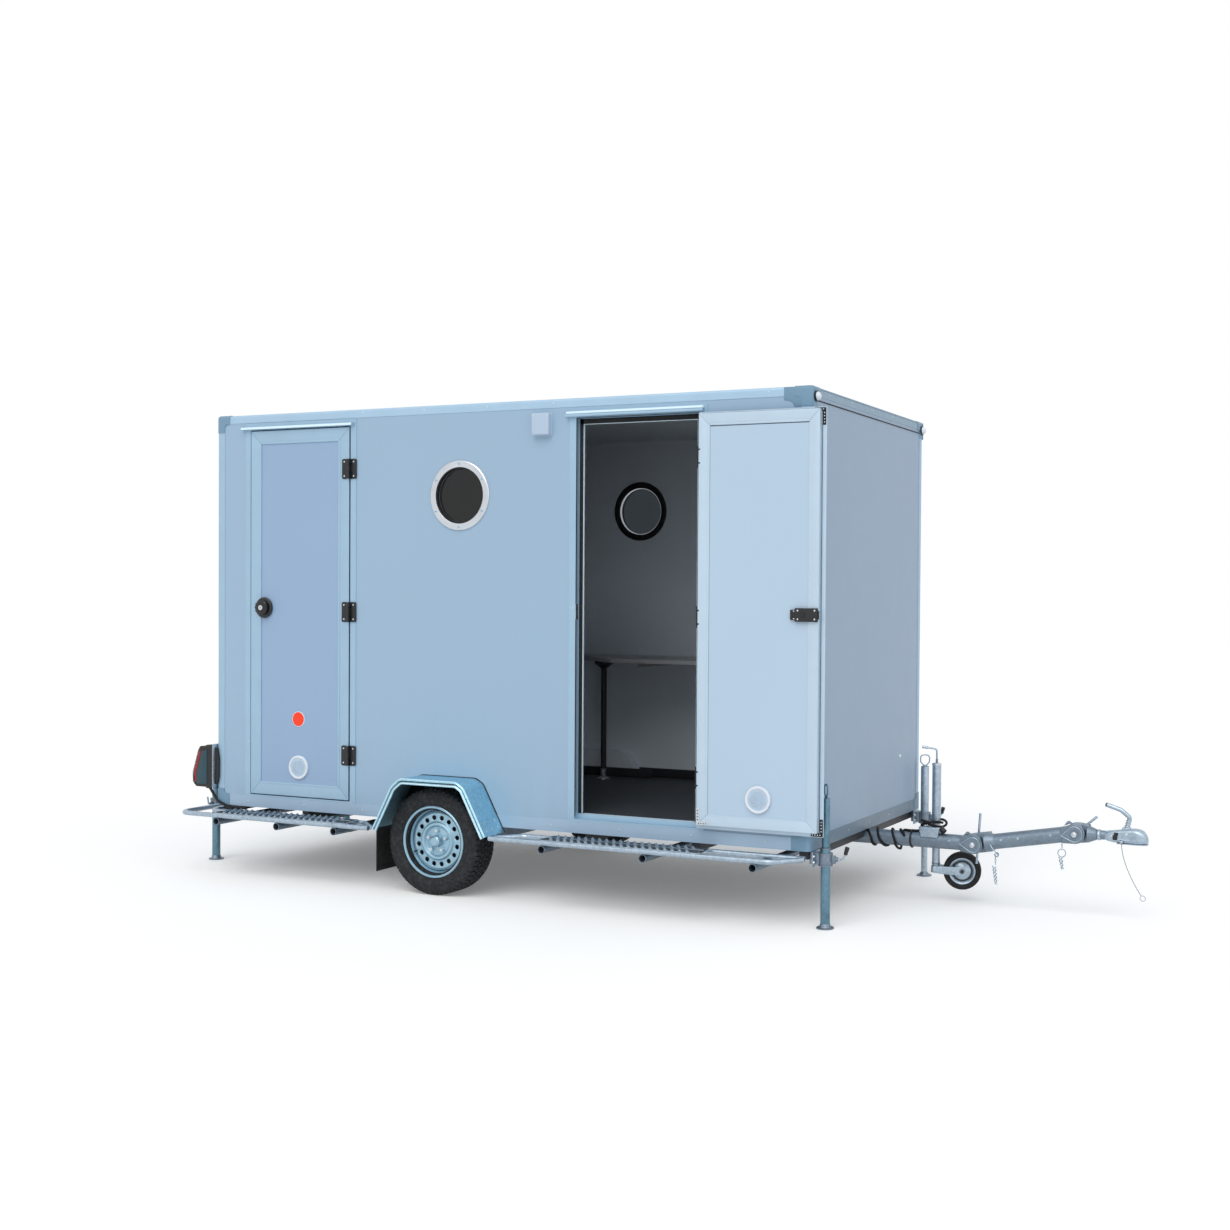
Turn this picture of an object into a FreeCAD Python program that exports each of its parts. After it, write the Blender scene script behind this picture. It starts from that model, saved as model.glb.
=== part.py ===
import FreeCAD, Part
import math
import os

# Small single-axle cabin trailer with two side doors and portholes.
# Working frame: x forward from the middle of the cabin, y to the left, z up from the ground.
# The pieces are moved at the end so that x = 0 is the middle of the overall length.

V = FreeCAD.Vector

# Cabin
box_length = 3750.0
box_width = 1740.0
box_bottom = 383.0
box_top = 2653.0
wall = 40.0                  # sandwich panel
skin_set = 2.0               # panels sit this far inside the profiles' faces
post_width = 60.0
roof_rail_height = 47.0
floor_rail_height = 65.0
vertical_edge_radius = 22.0
roof_edge_radius = 14.0
floor_depth = 92.0
roof_depth = 50.0
roof_set = 5.0

half_l = box_length / 2
half_w = box_width / 2
wall_outer = half_w - skin_set
wall_inner = wall_outer - wall
end_outer = half_l - skin_set
end_inner = end_outer - wall
rail_top = box_bottom + floor_rail_height
rail_bottom = box_top - roof_rail_height
floor_top = box_bottom + floor_depth
ceiling = box_top - roof_depth
beyond = 5.0                 # how far a cutting block passes a face
far = half_l + half_w

# Corner castings
casting_proud = 3.0
casting_reach = 100.0
casting_arm = 62.0
casting_arm_top = 52.0
casting_arm_bottom = 70.0
casting_inner_radius = 20.0

# Wheels, axle and arches
tyre_radius = 289.0
tyre_width = 185.0
tyre_bulge_radius = 236.0
tyre_edge_half = 84.0
tyre_edge_radius = 276.0
tyre_crown_half = 62.0
tyre_bead_half = 76.0
rim_seat = 178.0
rim_flange = rim_seat + 17.0
rim_wall = 4.0
rim_drop = 16.0
rim_drop_half = 36.0
wheel_x = -272.0
wheel_z = tyre_radius
wheel_y = half_w + 15.0
rim_holes = 16
rim_hole_radius = 13.0
rim_hole_circle = 127.0
rim_disc_out = 36.0          # vent ring of the disc, out from the middle of the wheel
rim_disc_sheet = 6.0
rim_ridge_out = 46.0
rim_ridge_radii = (104.0, 96.0, 82.0, 74.0)
rim_disc_radius = 147.0
rim_disc_root = rim_seat - 14.0  # the disc's edge, inside the barrel's sheet
nut_count = 5
nut_circle = 56.0
nut_radius = 11.0
nut_out = 52.0
hub_radius = 52.0
hub_in = 42.0
hub_out = 30.0
cap_radius = 29.0
cap_out = 74.0
spindle_radius = 17.5
spindle_out = 15.0
running_gap = 0.05
axle_x = wheel_x + 157.0
axle_side = 70.0
arm_thickness = 25.0
arm_clear = 8.0              # arm to the inner side of the tyre
arm_eye = 42.0
arm_end_eye = 36.0
arch_inner_y = half_w - 130.0
arch_sheet = 4.0
fender_outer_y = half_w + 196.0
fender_sheet = 3.0
fender_lip = 31.0
fender_lip_width = 8.0
fender_low = 353.0
fender_high = 2 * tyre_radius + 58.0
fender_shoulder = 23.0       # drop of the shoulder below the top
# fender outline seen from the side, from the rear bottom to the front bottom: x, z
fender_outline = [
    (wheel_x - 332.0, fender_low),
    (wheel_x - 196.0, fender_high - fender_shoulder),
    (wheel_x - 143.0, fender_high),
    (wheel_x + 210.0, fender_high),
    (wheel_x + 252.0, fender_high - fender_shoulder),
    (wheel_x + 392.0, fender_low + 3.0),
]
flap_x = wheel_x - 368.0
flap_thickness = 6.0
flap_bottom = 103.0
flap_outer_y = fender_outer_y - 90.0
flap_inner_y = arch_inner_y + 45.0

# Chassis
chassis_y = half_w - 415.0   # centre of each long member
member_width = 50.0
chassis_half_length = half_l - 20.0
cross_member_x = [
    -half_l + 45.0, -half_l + 625.0, wheel_x - 428.0,
    wheel_x + 892.0, half_l - 635.0, half_l - 45.0,
]
outrigger_x = [
    -half_l + 171.0, -half_l + 608.0, -half_l + 1007.0,
    wheel_x + 738.0, half_l - 821.0, half_l - 221.0,
]
outrigger_radius = 21.2
outrigger_wall = 3.0
outrigger_inner_y = chassis_y - 155.0
seat_gap = 0.2

# Side rails and tread plates
rail_radius = 13.45
rail_z = box_bottom - 32.0
rail_outer_y = half_w + 186.0
rail_inner_y = half_w + 43.0
rail_front_y = rail_inner_y - 21.0
rail_rear_outer_x = -half_l - 105.0
rail_rear_inner_x = -half_l - 15.0
rail_front_x = half_l - 15.0
rail_bend_start_x = half_l - 130.0
rail_bend = 70.0
rail_small_bend = 60.0
rail_fender_gap = 14.0
rail_join = 10.0             # the inner tube starts beside the outer one
rail_slant = 130.0           # length over which the inner tube crosses over
outrigger_outer_y = rail_outer_y + 2.0
outrigger_z = rail_z - rail_radius - outrigger_radius - seat_gap
chassis_bottom = outrigger_z + outrigger_radius + seat_gap
axle_z = chassis_bottom - seat_gap - axle_side / 2
tread_thickness = 3.0
tread_side_gap = 1.0
tread_spans = [(-half_l + 165.0, wheel_x - 538.0), (wheel_x + 732.0, half_l - 515.0)]

# Doors
leaf_width = 702.0
leaf_lip = 13.0              # the flange stands past the body of the leaf
lip_thickness = 4.0
leaf_body = 28.0
leaf_gap = 7.0
frame_margin = 46.0
frame_face = 3.0             # frame stands proud of the wall
frame_inset = 6.0
stop_depth = 9.0
leaf_border = 75.0
panel_set = 4.0
pivot_out = 21.0             # hinge axis outside the wall face
knuckle_radius = 8.0
knuckle_clear = 3.0
pin_radius = 3.5
hinge_height = 112.0
hinge_plate = 6.0
hinge_reach = 46.0
leaf_bottom = box_bottom + 81.0
sill_top = leaf_bottom + 18.0
hinge_z = [leaf_bottom + 251.0, leaf_bottom + 1057.0, box_top - 331.0]
knuckle_gap = 0.5
lock_z = leaf_bottom + 1076.0
lock_in = leaf_width - 96.0  # lock from the hinge axis
knob_plate_radius = 60.0
knob_radius = 44.0
knob_plate_part = 0.4        # share of the knob's height that is its plate
bolt_rear = 62.0
bolt_front = 82.0
bolt_half_height = 33.0
bolt_depth = 20.0
vent_z = leaf_bottom + 167.0
vent_radius = 67.0
vent_depth = 9.0
drip_height = 17.0
drip_reach = 24.0
drip_over = 16.0
drip_above = 8.0
drip_round = 0.45 * drip_height
# name, hinge axis x, axis to leaf edge, leaf top, head of the clear opening, door stands open, knob height
doors = [
    ("rear_door", -half_l + 967.0, 4.0, box_top - 98.0, box_top - 123.0, False, 36.0),
    ("front_door", half_l - 606.0, 9.0, box_top - 111.0, box_top - 135.0, True, 18.0),
]

# Portholes
porthole_z = box_top - 493.0
porthole_outer = 190.0
porthole_inner_flange = 186.0
porthole_glass = 145.0
porthole_hole = 150.0
porthole_proud = 10.0
porthole_lip = 8.0
glass_thickness = 6.0
# side, x
portholes = [(-1, -175.0), (1, 22.0)]

# Inside
partition_x = -half_l + 1075.0
partition_y = 40.0
partition_thickness = 30.0
partition_post = 36.0
table_top_z = floor_top + 770.0
table_thickness = 25.0
table_front_y = half_w - 600.0
table_rear_x = half_l - 2275.0
table_chamfer_x = table_rear_x + 530.0
table_chamfer_y = half_w - 170.0
table_leg_x = table_rear_x + 292.0
table_leg_y = half_w - 270.0
table_leg_radius = 30.0
table_foot_radius = 75.0
table_foot_height = 14.0

# Lamps
rear_lamp_y0 = half_w - 108.0
rear_lamp_y1 = half_w + 28.0
rear_lamp_bottom = box_bottom + 99.0
rear_lamp_plate = 4.0
# outline behind the plate, seen from the side: distance back, height above the bottom
rear_lamp_outline = [(0.0, 0.0), (128.0, 0.0), (150.0, 18.0), (152.0, 78.0), (100.0, 240.0), (0.0, 244.0)]
lens_thickness = 9.0
lens_border = 10.0
lamp_plate_margin = 6.0
marker_radius = 24.0
marker_base = 10.0
marker_dome = 22.0
marker_dome_radius = 19.0
marker_y = half_w - 58.0
marker_z = box_top - 183.0
front_frame_x = doors[1][1] - doors[1][2] - leaf_width - frame_margin
wall_lamp_x = (front_frame_x - 215.0, front_frame_x - 110.0)
wall_lamp_z = (box_top - 189.0, box_top - 74.0)
wall_lamp_depth = 38.0

# Legs
leg_thick = 24.0
leg_thin = 20.0
leg_slim = 18.0
foot_radius = 44.0
foot_height = 8.0
clamp_radius = 34.0
clamp_bottom = rail_z - 43.0
clamp_top = rail_z + 23.0
clamp_arm_half = 22.0
clamp_arm_set = 8.0
clamp_plate_half = 50.0
clamp_plate_thickness = 6.0
clamp_plate_height = clamp_top + 4.0
slide_gap = 0.3
ring_outer = 33.0
ring_wire = 5.0
ring_sink = 3.0
leg_front_x = half_l + 57.0
leg_rear_x = -half_l - 245.0
leg_front_y = half_w - 73.0
leg_rear_y = half_w - 258.0
leg_front_top = box_bottom + 258.0
leg_rear_top = box_bottom + 67.0
leg_step = clamp_top + 24.0
leg_low_step = clamp_bottom - 68.0
aft, aside = (0.8, 0.6), (-0.41, 0.91)
# name, x, y, top of the tube, height of the step, radius below it, radius above it, way the handle faces
legs = [
    ("leg_front_right", leg_front_x, -leg_front_y, leg_front_top, leg_step, leg_thick, leg_thin, aft),
    ("leg_front_left", leg_front_x, leg_front_y, leg_front_top, leg_low_step, leg_slim, leg_thick, aside),
    ("leg_rear_right", leg_rear_x, -leg_rear_y, leg_rear_top, leg_step, leg_thick, leg_thin, aft),
    ("leg_rear_left", leg_rear_x, leg_rear_y, leg_rear_top, leg_step, leg_thick, leg_thin, aside),
]

# Drawbar: the cast end on the right side of each joint belongs to the section behind it
bar_radius = 40.0
bar_z = box_bottom - bar_radius - 1.0
bar_rear_x = half_l - 975.0
joint_1 = (half_l + 585.0, bar_z)
joint_2 = (joint_1[0] + 530.0, bar_z + 92.0)
near_radius = 50.0
far_radius = 52.0
cheek_gap = 0.25             # each toothed face from the middle plane
cheek_out = 46.0
tube_set = far_radius + 8.0  # tube ends from the joint's axis
tongue_length = 76.0
tongue_half = 39.0
drop_radius = 41.0
drop_reach = 76.0
drop_proud = 6.0
cone_radius = 50.0
cone_length = 52.0
head_cone_radius = 43.0
bolt_radius = 11.0
bolt_head_radius = 15.0
bolt_head = 12.0
nut_gap = 1.0
bar_nut_radius = 19.0
bar_nut_length = 29.0
handle_radius = 7.0
handle_y = cheek_out + 15.0
# per joint: shift of the bar from the bolt (x, z), lean, length up, length down
handles = [
    (0.0, 0.0, 0.07, 150.0, 84.0),
    (6.0, 8.0, 0.86, 112.0, 40.0),
]

# Coupling
coupling_radius = 24.0
coupling_head_x = joint_2[0] + 322.0
nose_radius = 39.0
coupling_nose_x = coupling_head_x + nose_radius
ball_radius = 25.0
ball_gap = 0.4
ball_z = joint_2[1] - 9.0
head_bottom = joint_2[1] - 36.0
head_top = joint_2[1] + 40.0
head_chamfer = 14.0
neck_half = 31.0
neck_length = 162.0
neck_rise = 12.0             # underside of the neck at its rear end, above the head's bottom
neck_drop = 16.0
eye_x = coupling_head_x - 88.0
eye_y = -42.0
eye_half = 9.0
eye_height = 14.0
lever_radius = 12.0
# lever from the head: x from the ball, height above the joint
lever_line = [(-72.0, 32.0), (-54.0, 96.0), (-98.0, 132.0), (-169.0, 154.0)]
lever_bends = [16.0, 34.0]
lever_foot_half = 19.0
lever_foot_x = (-90.0, -50.0)
lever_foot_top = 8.0

# Jockey wheel
jockey_x = half_l + 346.0
jockey_y = 90.0
jockey_top = bar_z + 396.0
jockey_bottom = bar_z - 50.0
jockey_radius = 24.0
jockey_inner_radius = 21.0
jockey_wheel_radius = 101.0
jockey_wheel_width = 50.0
jockey_wheel_chamfer = 12.0
jockey_hub_z = jockey_wheel_radius + 71.0
jockey_inner_bottom = jockey_hub_z + 24.0
jockey_inner_top = bar_z + 278.0
jockey_collar = 9.0
jockey_block_half = 52.0
jockey_block_top = bar_z + 74.0
jockey_block_out = 44.0
jockey_cap_height = 8.0
jockey_cap_margin = 2.0
crank_up = 80.0
crank_out = (-66.0, -26.0, 10.0)
crank_bend = 16.0
crank_radius = 6.0
jockey_trail = 140.0
jockey_turn = 14.5
jockey_pin = 7.0
fork_gap = 6.0
fork_plate = 5.0
fork_eye = 23.0
fork_root = 14.0
fork_low = jockey_hub_z - 14.0
crown_radius = 28.0
turn_gap = 0.3

# Lead and cable
lead_radius = 5.5
lead_wraps = [half_l + 37.0, half_l + 61.0, half_l + 95.0, half_l + 165.0]
cable_radius = 2.0
# from the eye: x, z
cable_route = [
    (0.0, 0.0), (3.5, -38.0), (14.0, -82.0), (31.0, -128.0),
    (52.5, -174.0), (77.5, -220.0), (100.0, -254.0),
]
cable_top = head_bottom + 6.0
cable_points = [(eye_x + x, eye_y, cable_top + z) for x, z in cable_route]
cable_ring_radius = 13.0
cable_ring_wire = 2.5

# Middle of the overall length: rear feet to the nose of the coupling
origin_x = (leg_rear_x - foot_radius + coupling_nose_x) / 2
nodes = {}


def box(x0, x1, y0, y1, z0, z1):
    x0, x1 = sorted((x0, x1))
    y0, y1 = sorted((y0, y1))
    z0, z1 = sorted((z0, z1))
    return Part.makeBox(x1 - x0, y1 - y0, z1 - z0, V(x0, y0, z0))


def rod(p, q, r):
    d = V(*q) - V(*p)
    return Part.makeCylinder(r, d.Length, V(*p), d)


def upright(x, y, z0, z1, r):
    return rod((x, y, z0), (x, y, z1), r)


def pipe(p, q, r, r_inner):
    return rod(p, q, r).cut(rod(p, q, r_inner))


def across(x, z, r, y0, y1):
    """Cylinder along y."""
    return rod((x, min(y0, y1), z), (x, max(y0, y1), z), r)


def prism_y(points, y0, y1):
    """Side outline (x, z) carried from y0 to y1."""
    y0, y1 = sorted((y0, y1))
    corners = [V(x, y0, z) for x, z in points]
    face = Part.Face(Part.makePolygon(corners + corners[:1]))
    return face.extrude(V(0, y1 - y0, 0))


def prism_z(points, z0, z1):
    """Plan outline (x, y) carried from z0 to z1."""
    corners = [V(x, y, z0) for x, y in points]
    face = Part.Face(Part.makePolygon(corners + corners[:1]))
    return face.extrude(V(0, 0, z1 - z0))


def fuse(shapes):
    shapes = list(shapes)
    return shapes[0].multiFuse(shapes[1:]).removeSplitter() if len(shapes) > 1 else shapes[0]


def mirror(shape):
    return shape.mirror(V(0, 0, 0), V(0, 1, 0))


def both(shape):
    return [shape, mirror(shape)]


def on_side(shape, side):
    """A piece drawn on the right side (y < 0), put on the side asked for."""
    return shape if side < 0 else mirror(shape)


def bent_path(points, radii):
    """Straight runs with a tangent arc at each inner point."""
    pts = [V(*p) for p in points]
    edges = []
    start = pts[0]
    for i in range(1, len(pts) - 1):
        a = (pts[i - 1] - pts[i]).normalize()
        b = (pts[i + 1] - pts[i]).normalize()
        half = a.getAngle(b) / 2
        r = radii[i - 1]
        reach = r / math.tan(half)
        p, q = pts[i] + a * reach, pts[i] + b * reach
        middle = pts[i] + (a + b).normalize() * (r / math.sin(half) - r)
        if (p - start).Length > 1e-6:
            edges.append(Part.LineSegment(start, p).toShape())
        edges.append(Part.Arc(p, middle, q).toShape())
        start = q
    edges.append(Part.LineSegment(start, pts[-1]).toShape())
    return Part.Wire(edges)


def bent_rod(points, radii, r):
    path = bent_path(points, radii)
    first = V(*points[0])
    circle = Part.Wire(Part.makeCircle(r, first, V(*points[1]) - first))
    return path.makePipeShell([circle], True, False)


def outward(solid):
    """Same solid with its faces turned outward."""
    if solid.Volume < 0:
        solid.reverse()
    return solid


def revolve_y(points, centre):
    """Ring made by turning an outline (distance out along -y, radius) about the y axis through centre."""
    x, y, z = centre
    corners = [V(x, y - o, z + r) for o, r in points]
    face = Part.Face(Part.makePolygon(corners + corners[:1]))
    return outward(face.revolve(V(x, y, z), V(0, 1, 0), 360))


def save(name, shapes):
    nodes[name] = shapes if isinstance(shapes, list) else [shapes]


# Envelope of the cabin, from which the profiles, posts and castings are cut
def envelope(grow):
    e = box(-half_l - grow, half_l + grow, -half_w - grow, half_w + grow, box_bottom - grow, box_top + grow)
    standing = [s for s in e.Edges if abs(s.Vertexes[0].Z - s.Vertexes[1].Z) > 1]
    e = e.makeFillet(vertical_edge_radius + grow, standing)
    top = [s for s in e.Edges if s.BoundBox.ZMin > box_top + grow - 0.01]
    return e.makeFillet(roof_edge_radius + grow, top)


cabin = envelope(0.0)
core = box(-end_inner, end_inner, -wall_inner, wall_inner, box_bottom - beyond, box_top + beyond)
roof_profile = cabin.common(box(-far, far, -far, far, rail_bottom, box_top)).cut(core)
floor_ring = cabin.common(box(-far, far, -far, far, box_bottom, rail_top)).cut(core)

posts = []
for sx in (-1, 1):
    for sy in (-1, 1):
        x0, x1 = sx * half_l, sx * (half_l - post_width)
        y0, y1 = sy * half_w, sy * (half_w - post_width)
        posts.append(cabin.common(box(x0, x1, y0, y1, rail_top, rail_bottom)).cut(core))

# Corner castings: a proud skin with a rounded notch on each face
skin = envelope(casting_proud).cut(cabin)
skin = skin.common(box(-far, far, -far, far, box_bottom, box_top + casting_proud))
edge_x = half_l + casting_proud
edge_y = half_w + casting_proud
notch_x = edge_x - casting_arm
notch_y = -edge_y + casting_arm
notch_end = casting_reach + casting_inner_radius * 2


def rounded_notch(block, x, y, z):
    """Cutting block with its edge through the given corner rounded; None marks the way the edge runs."""
    for e in block.Edges:
        c = e.CenterOfMass
        hits = [v is None or abs(w - v) < 0.01 for v, w in ((x, c.x), (y, c.y), (z, c.z))]
        run = [e.BoundBox.XLength, e.BoundBox.YLength, e.BoundBox.ZLength][[x, y, z].index(None)]
        if all(hits) and run > 1:
            return block.makeFillet(casting_inner_radius, [e])
    return block


castings = []
for sz, arm_z in ((1, casting_arm_top), (-1, casting_arm_bottom)):
    z_face = box_top + casting_proud if sz > 0 else box_bottom - casting_proud
    notch_z = z_face - sz * arm_z
    end_z = z_face - sz * notch_end
    piece = skin.common(box(edge_x, edge_x - casting_reach, -edge_y, -edge_y + casting_reach,
                            z_face, z_face - sz * casting_reach))
    side = box(notch_x, edge_x - notch_end, -edge_y - beyond, -edge_y + 2 * beyond, notch_z, end_z)
    front = box(edge_x + beyond, edge_x - 2 * beyond, notch_y, -edge_y + notch_end, notch_z, end_z)
    flat = box(notch_x, edge_x - notch_end, notch_y, -edge_y + notch_end,
               z_face + sz * beyond, z_face - sz * 2 * beyond)
    piece = piece.cut(rounded_notch(side, notch_x, None, notch_z))
    piece = piece.cut(rounded_notch(front, None, notch_y, notch_z))
    piece = piece.cut(rounded_notch(flat, notch_x, notch_y, None))
    castings += both(piece)
    castings += both(piece.mirror(V(0, 0, 0), V(1, 0, 0)))
save("corner_castings", castings)


# Wheel arches
def arch_block(grow, y0, y1, bottom):
    """Inside of the arch, from the outline moved out by grow."""
    (x0, z0), (x1, z1), (x2, z2), (x3, z3), (x4, z4), (x5, z5) = fender_outline
    rear_slope = (x1 - x0) / (z1 - z0)
    front_slope = (x5 - x4) / (z4 - z5)
    points = [
        (x0 - grow + rear_slope * (bottom - z0), bottom),
        (x1 - grow, z1),
        (x2, z2 + grow),
        (x3, z3 + grow),
        (x4 + grow, z4),
        (x5 + grow - front_slope * (bottom - z5), bottom),
    ]
    return prism_y(points, y0, y1)


arch_cut = arch_block(0.0, -half_w - beyond, -arch_inner_y, box_bottom - beyond)
arch_hollow = arch_block(-arch_sheet, -half_w - beyond, -arch_inner_y - arch_sheet, box_bottom - beyond)
wheel_box = arch_block(0.0, -wall_outer, -arch_inner_y, box_bottom).cut(arch_hollow)
save("wheel_boxes", both(wheel_box))

arches = fuse(both(arch_cut))
save("floor_profile", floor_ring.cut(arches))
save("roof_profile", roof_profile)
save("corner_posts", posts)
save("floor", box(-end_inner, end_inner, -wall_inner, wall_inner, box_bottom, floor_top).cut(arches))
save("roof_panel", box(-end_inner, end_inner, -wall_inner, wall_inner, ceiling, box_top - roof_set))
panel_half = half_w - post_width
save("end_panels", [
    box(s * end_outer, s * end_inner, -panel_half, panel_half, rail_top, rail_bottom) for s in (-1, 1)
])

# Door frames, leaves and hinges
face_y = -wall_outer - frame_face
pivot_y = -wall_outer - pivot_out
lip_y = face_y - lip_thickness
inner_y = face_y + leaf_body
holes = []
hinge_plates = []


def door_frame(name, x0, x1, leaf_top, clear_top):
    """Frame between the wall's skins with a stop for the leaf and a drip rail above it."""
    left, right = x0 - frame_margin, x1 + frame_margin
    top = leaf_top + frame_margin
    holes.append(box(left, right, -half_w - beyond, -wall_inner + beyond, rail_top - beyond, top))
    frame = box(left, right, face_y, -wall_inner, rail_top, top)
    rebate = box(x0 - leaf_gap, x1 + leaf_gap, face_y - beyond, -wall_inner - stop_depth,
                 leaf_bottom - leaf_gap, leaf_top + leaf_gap)
    inset = leaf_lip + frame_inset
    clear = box(x0 + inset, x1 - inset, face_y - beyond, -wall_inner + beyond, sill_top, clear_top)
    drip_z = leaf_top + drip_above
    drip = box(left - drip_over, right - drip_over, face_y, face_y - drip_reach, drip_z, drip_z + drip_height)
    long_edges = [e for e in drip.Edges if e.BoundBox.XLength > 10]
    outer = [e for e in long_edges if e.CenterOfMass.y < face_y - drip_reach + 0.01]
    save(name + "_frame", fuse([frame.cut(rebate).cut(clear), drip.makeFillet(drip_round, outer)]))


def hinge(pivot_x, x1, z):
    """Three-knuckle hinge: outer knuckles on the leaf's plate, the middle one on the frame's."""
    z0 = z - hinge_height / 2
    z1 = z0 + hinge_height
    low = z0 + hinge_height / 3
    high = z1 - hinge_height / 3
    plate = [box(x1 - hinge_reach, pivot_x - 1, lip_y, lip_y - hinge_plate, z0, z1)]
    for a, b in ((z0, low - knuckle_gap), (high + knuckle_gap, z1)):
        plate.append(upright(pivot_x, pivot_y, a, b, knuckle_radius))
        plate.append(box(pivot_x - knuckle_radius, pivot_x, pivot_y, lip_y, a, b))
    reach = knuckle_radius + knuckle_clear
    middle = box(pivot_x - reach, pivot_x + reach, pivot_y - reach, lip_y + 1,
                 low - knuckle_gap, high + knuckle_gap)
    bore = upright(pivot_x, pivot_y, z0 - beyond, z1 + beyond, pin_radius + running_gap)
    moving = fuse(plate).cut(middle).cut(bore)
    strap = box(pivot_x + knuckle_clear, pivot_x + hinge_reach, face_y, face_y - hinge_plate, z0, z1)
    for a, b in ((z0 - 1, low), (high, z1 + 1)):
        strap = strap.cut(box(pivot_x - knuckle_clear, pivot_x + reach, pivot_y - reach, face_y, a, b))
    neck = box(pivot_x, pivot_x + knuckle_radius, pivot_y, face_y, low, high)
    knuckle = upright(pivot_x, pivot_y, low, high, knuckle_radius)
    pin = upright(pivot_x, pivot_y, z0, z1, pin_radius)
    return moving, fuse([strap, neck, knuckle, pin])


def door(name, pivot_x, edge_gap, leaf_top, clear_top, is_open, knob_height):
    """Frame and leaf, drawn closed; an open leaf is turned half a turn about its hinges."""
    x1 = pivot_x - edge_gap
    x0 = x1 - leaf_width
    door_frame(name, x0, x1, leaf_top, clear_top)
    lip = box(x0, x1, lip_y, face_y, leaf_bottom, leaf_top)
    body = box(x0 + leaf_lip, x1 - leaf_lip, face_y, inner_y,
               leaf_bottom + leaf_lip / 2, leaf_top - leaf_lip / 2)
    light = (x0 + leaf_border, x1 - leaf_border)
    low, high = leaf_bottom + leaf_border, leaf_top - leaf_border
    leaf = fuse([lip, body]).cut(box(*light, lip_y - beyond, inner_y + beyond, low, high))
    outer_face, inner_face = lip_y + panel_set, inner_y - panel_set
    vent_x = (x0 + x1) / 2
    panel = fuse([
        box(*light, outer_face, inner_face, low, high),
        across(vent_x, vent_z, vent_radius, outer_face, outer_face - vent_depth),
        across(vent_x, vent_z, vent_radius, inner_face, inner_face + vent_depth),
    ])
    lock_x = pivot_x - lock_in
    plate_y = lip_y - knob_height * knob_plate_part
    knob = fuse([
        across(lock_x, lock_z, knob_plate_radius, lip_y, plate_y),
        across(lock_x, lock_z, knob_radius, plate_y, lip_y - knob_height),
    ])
    bolt = box(lock_x - bolt_rear, lock_x + bolt_front, inner_y, inner_y + bolt_depth,
               lock_z - bolt_half_height, lock_z + bolt_half_height)
    hinges = [hinge(pivot_x, x1, z) for z in hinge_z]
    hinge_plates.extend(fixed for moving, fixed in hinges)
    pieces = {
        "_leaf": [leaf],
        "_panel": [panel],
        "_hinges": [moving for moving, fixed in hinges],
        "_lock": [knob, bolt],
    }
    for tail, shapes in pieces.items():
        for s in shapes:
            if is_open:
                s.rotate(V(pivot_x, pivot_y, 0), V(0, 0, 1), 180)
        save(name + tail, shapes)


for row in doors:
    door(*row)
save("hinge_plates", hinge_plates)

# Side panels and portholes
for side, x in portholes:
    plate = box(-half_l + post_width, half_l - post_width, -wall_outer, -wall_inner, rail_top, rail_bottom)
    cutter = across(x, porthole_z, porthole_hole, -half_w - beyond, -wall_inner + beyond)
    plate = plate.cut(arch_cut).cut(cutter)
    if side < 0:
        for hole in holes:
            plate = plate.cut(hole)
    save("side_panel_right" if side < 0 else "side_panel_left", on_side(plate, side))

rings, glasses = [], []
for side, x in portholes:
    ring = fuse([
        across(x, porthole_z, porthole_hole, -wall_outer, -wall_inner),
        across(x, porthole_z, porthole_outer, -wall_outer - porthole_proud, -wall_outer),
        across(x, porthole_z, porthole_inner_flange, -wall_inner, -wall_inner + porthole_lip),
    ])
    rings.append(on_side(ring.cut(across(x, porthole_z, porthole_glass, -far, 0)), side))
    middle = (-wall_outer - wall_inner) / 2
    glass = across(x, porthole_z, porthole_glass, middle - glass_thickness / 2, middle + glass_thickness / 2)
    glasses.append(on_side(glass, side))
save("porthole_rings", rings)
save("porthole_glass", glasses)

# Inside: partition of the rear room, table
post_x = partition_x - partition_post
post_y = partition_y - partition_post
save("partition", fuse([
    box(partition_x - partition_thickness, partition_x, -wall_inner, post_y, floor_top, ceiling),
    box(-end_inner, post_x, partition_y - partition_thickness, partition_y, floor_top, ceiling),
    box(post_x, partition_x, post_y, partition_y, floor_top, ceiling),
]))
table_outline = [
    (end_inner, wall_inner),
    (end_inner, table_front_y),
    (table_chamfer_x, table_front_y),
    (table_rear_x, table_chamfer_y),
    (table_rear_x, wall_inner),
]
table_under = table_top_z - table_thickness
save("table_top", prism_z(table_outline, table_under, table_top_z))
save("table_leg", fuse([
    upright(table_leg_x, table_leg_y, floor_top, table_under, table_leg_radius),
    upright(table_leg_x, table_leg_y, floor_top, floor_top + table_foot_height, table_foot_radius),
]))

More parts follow.
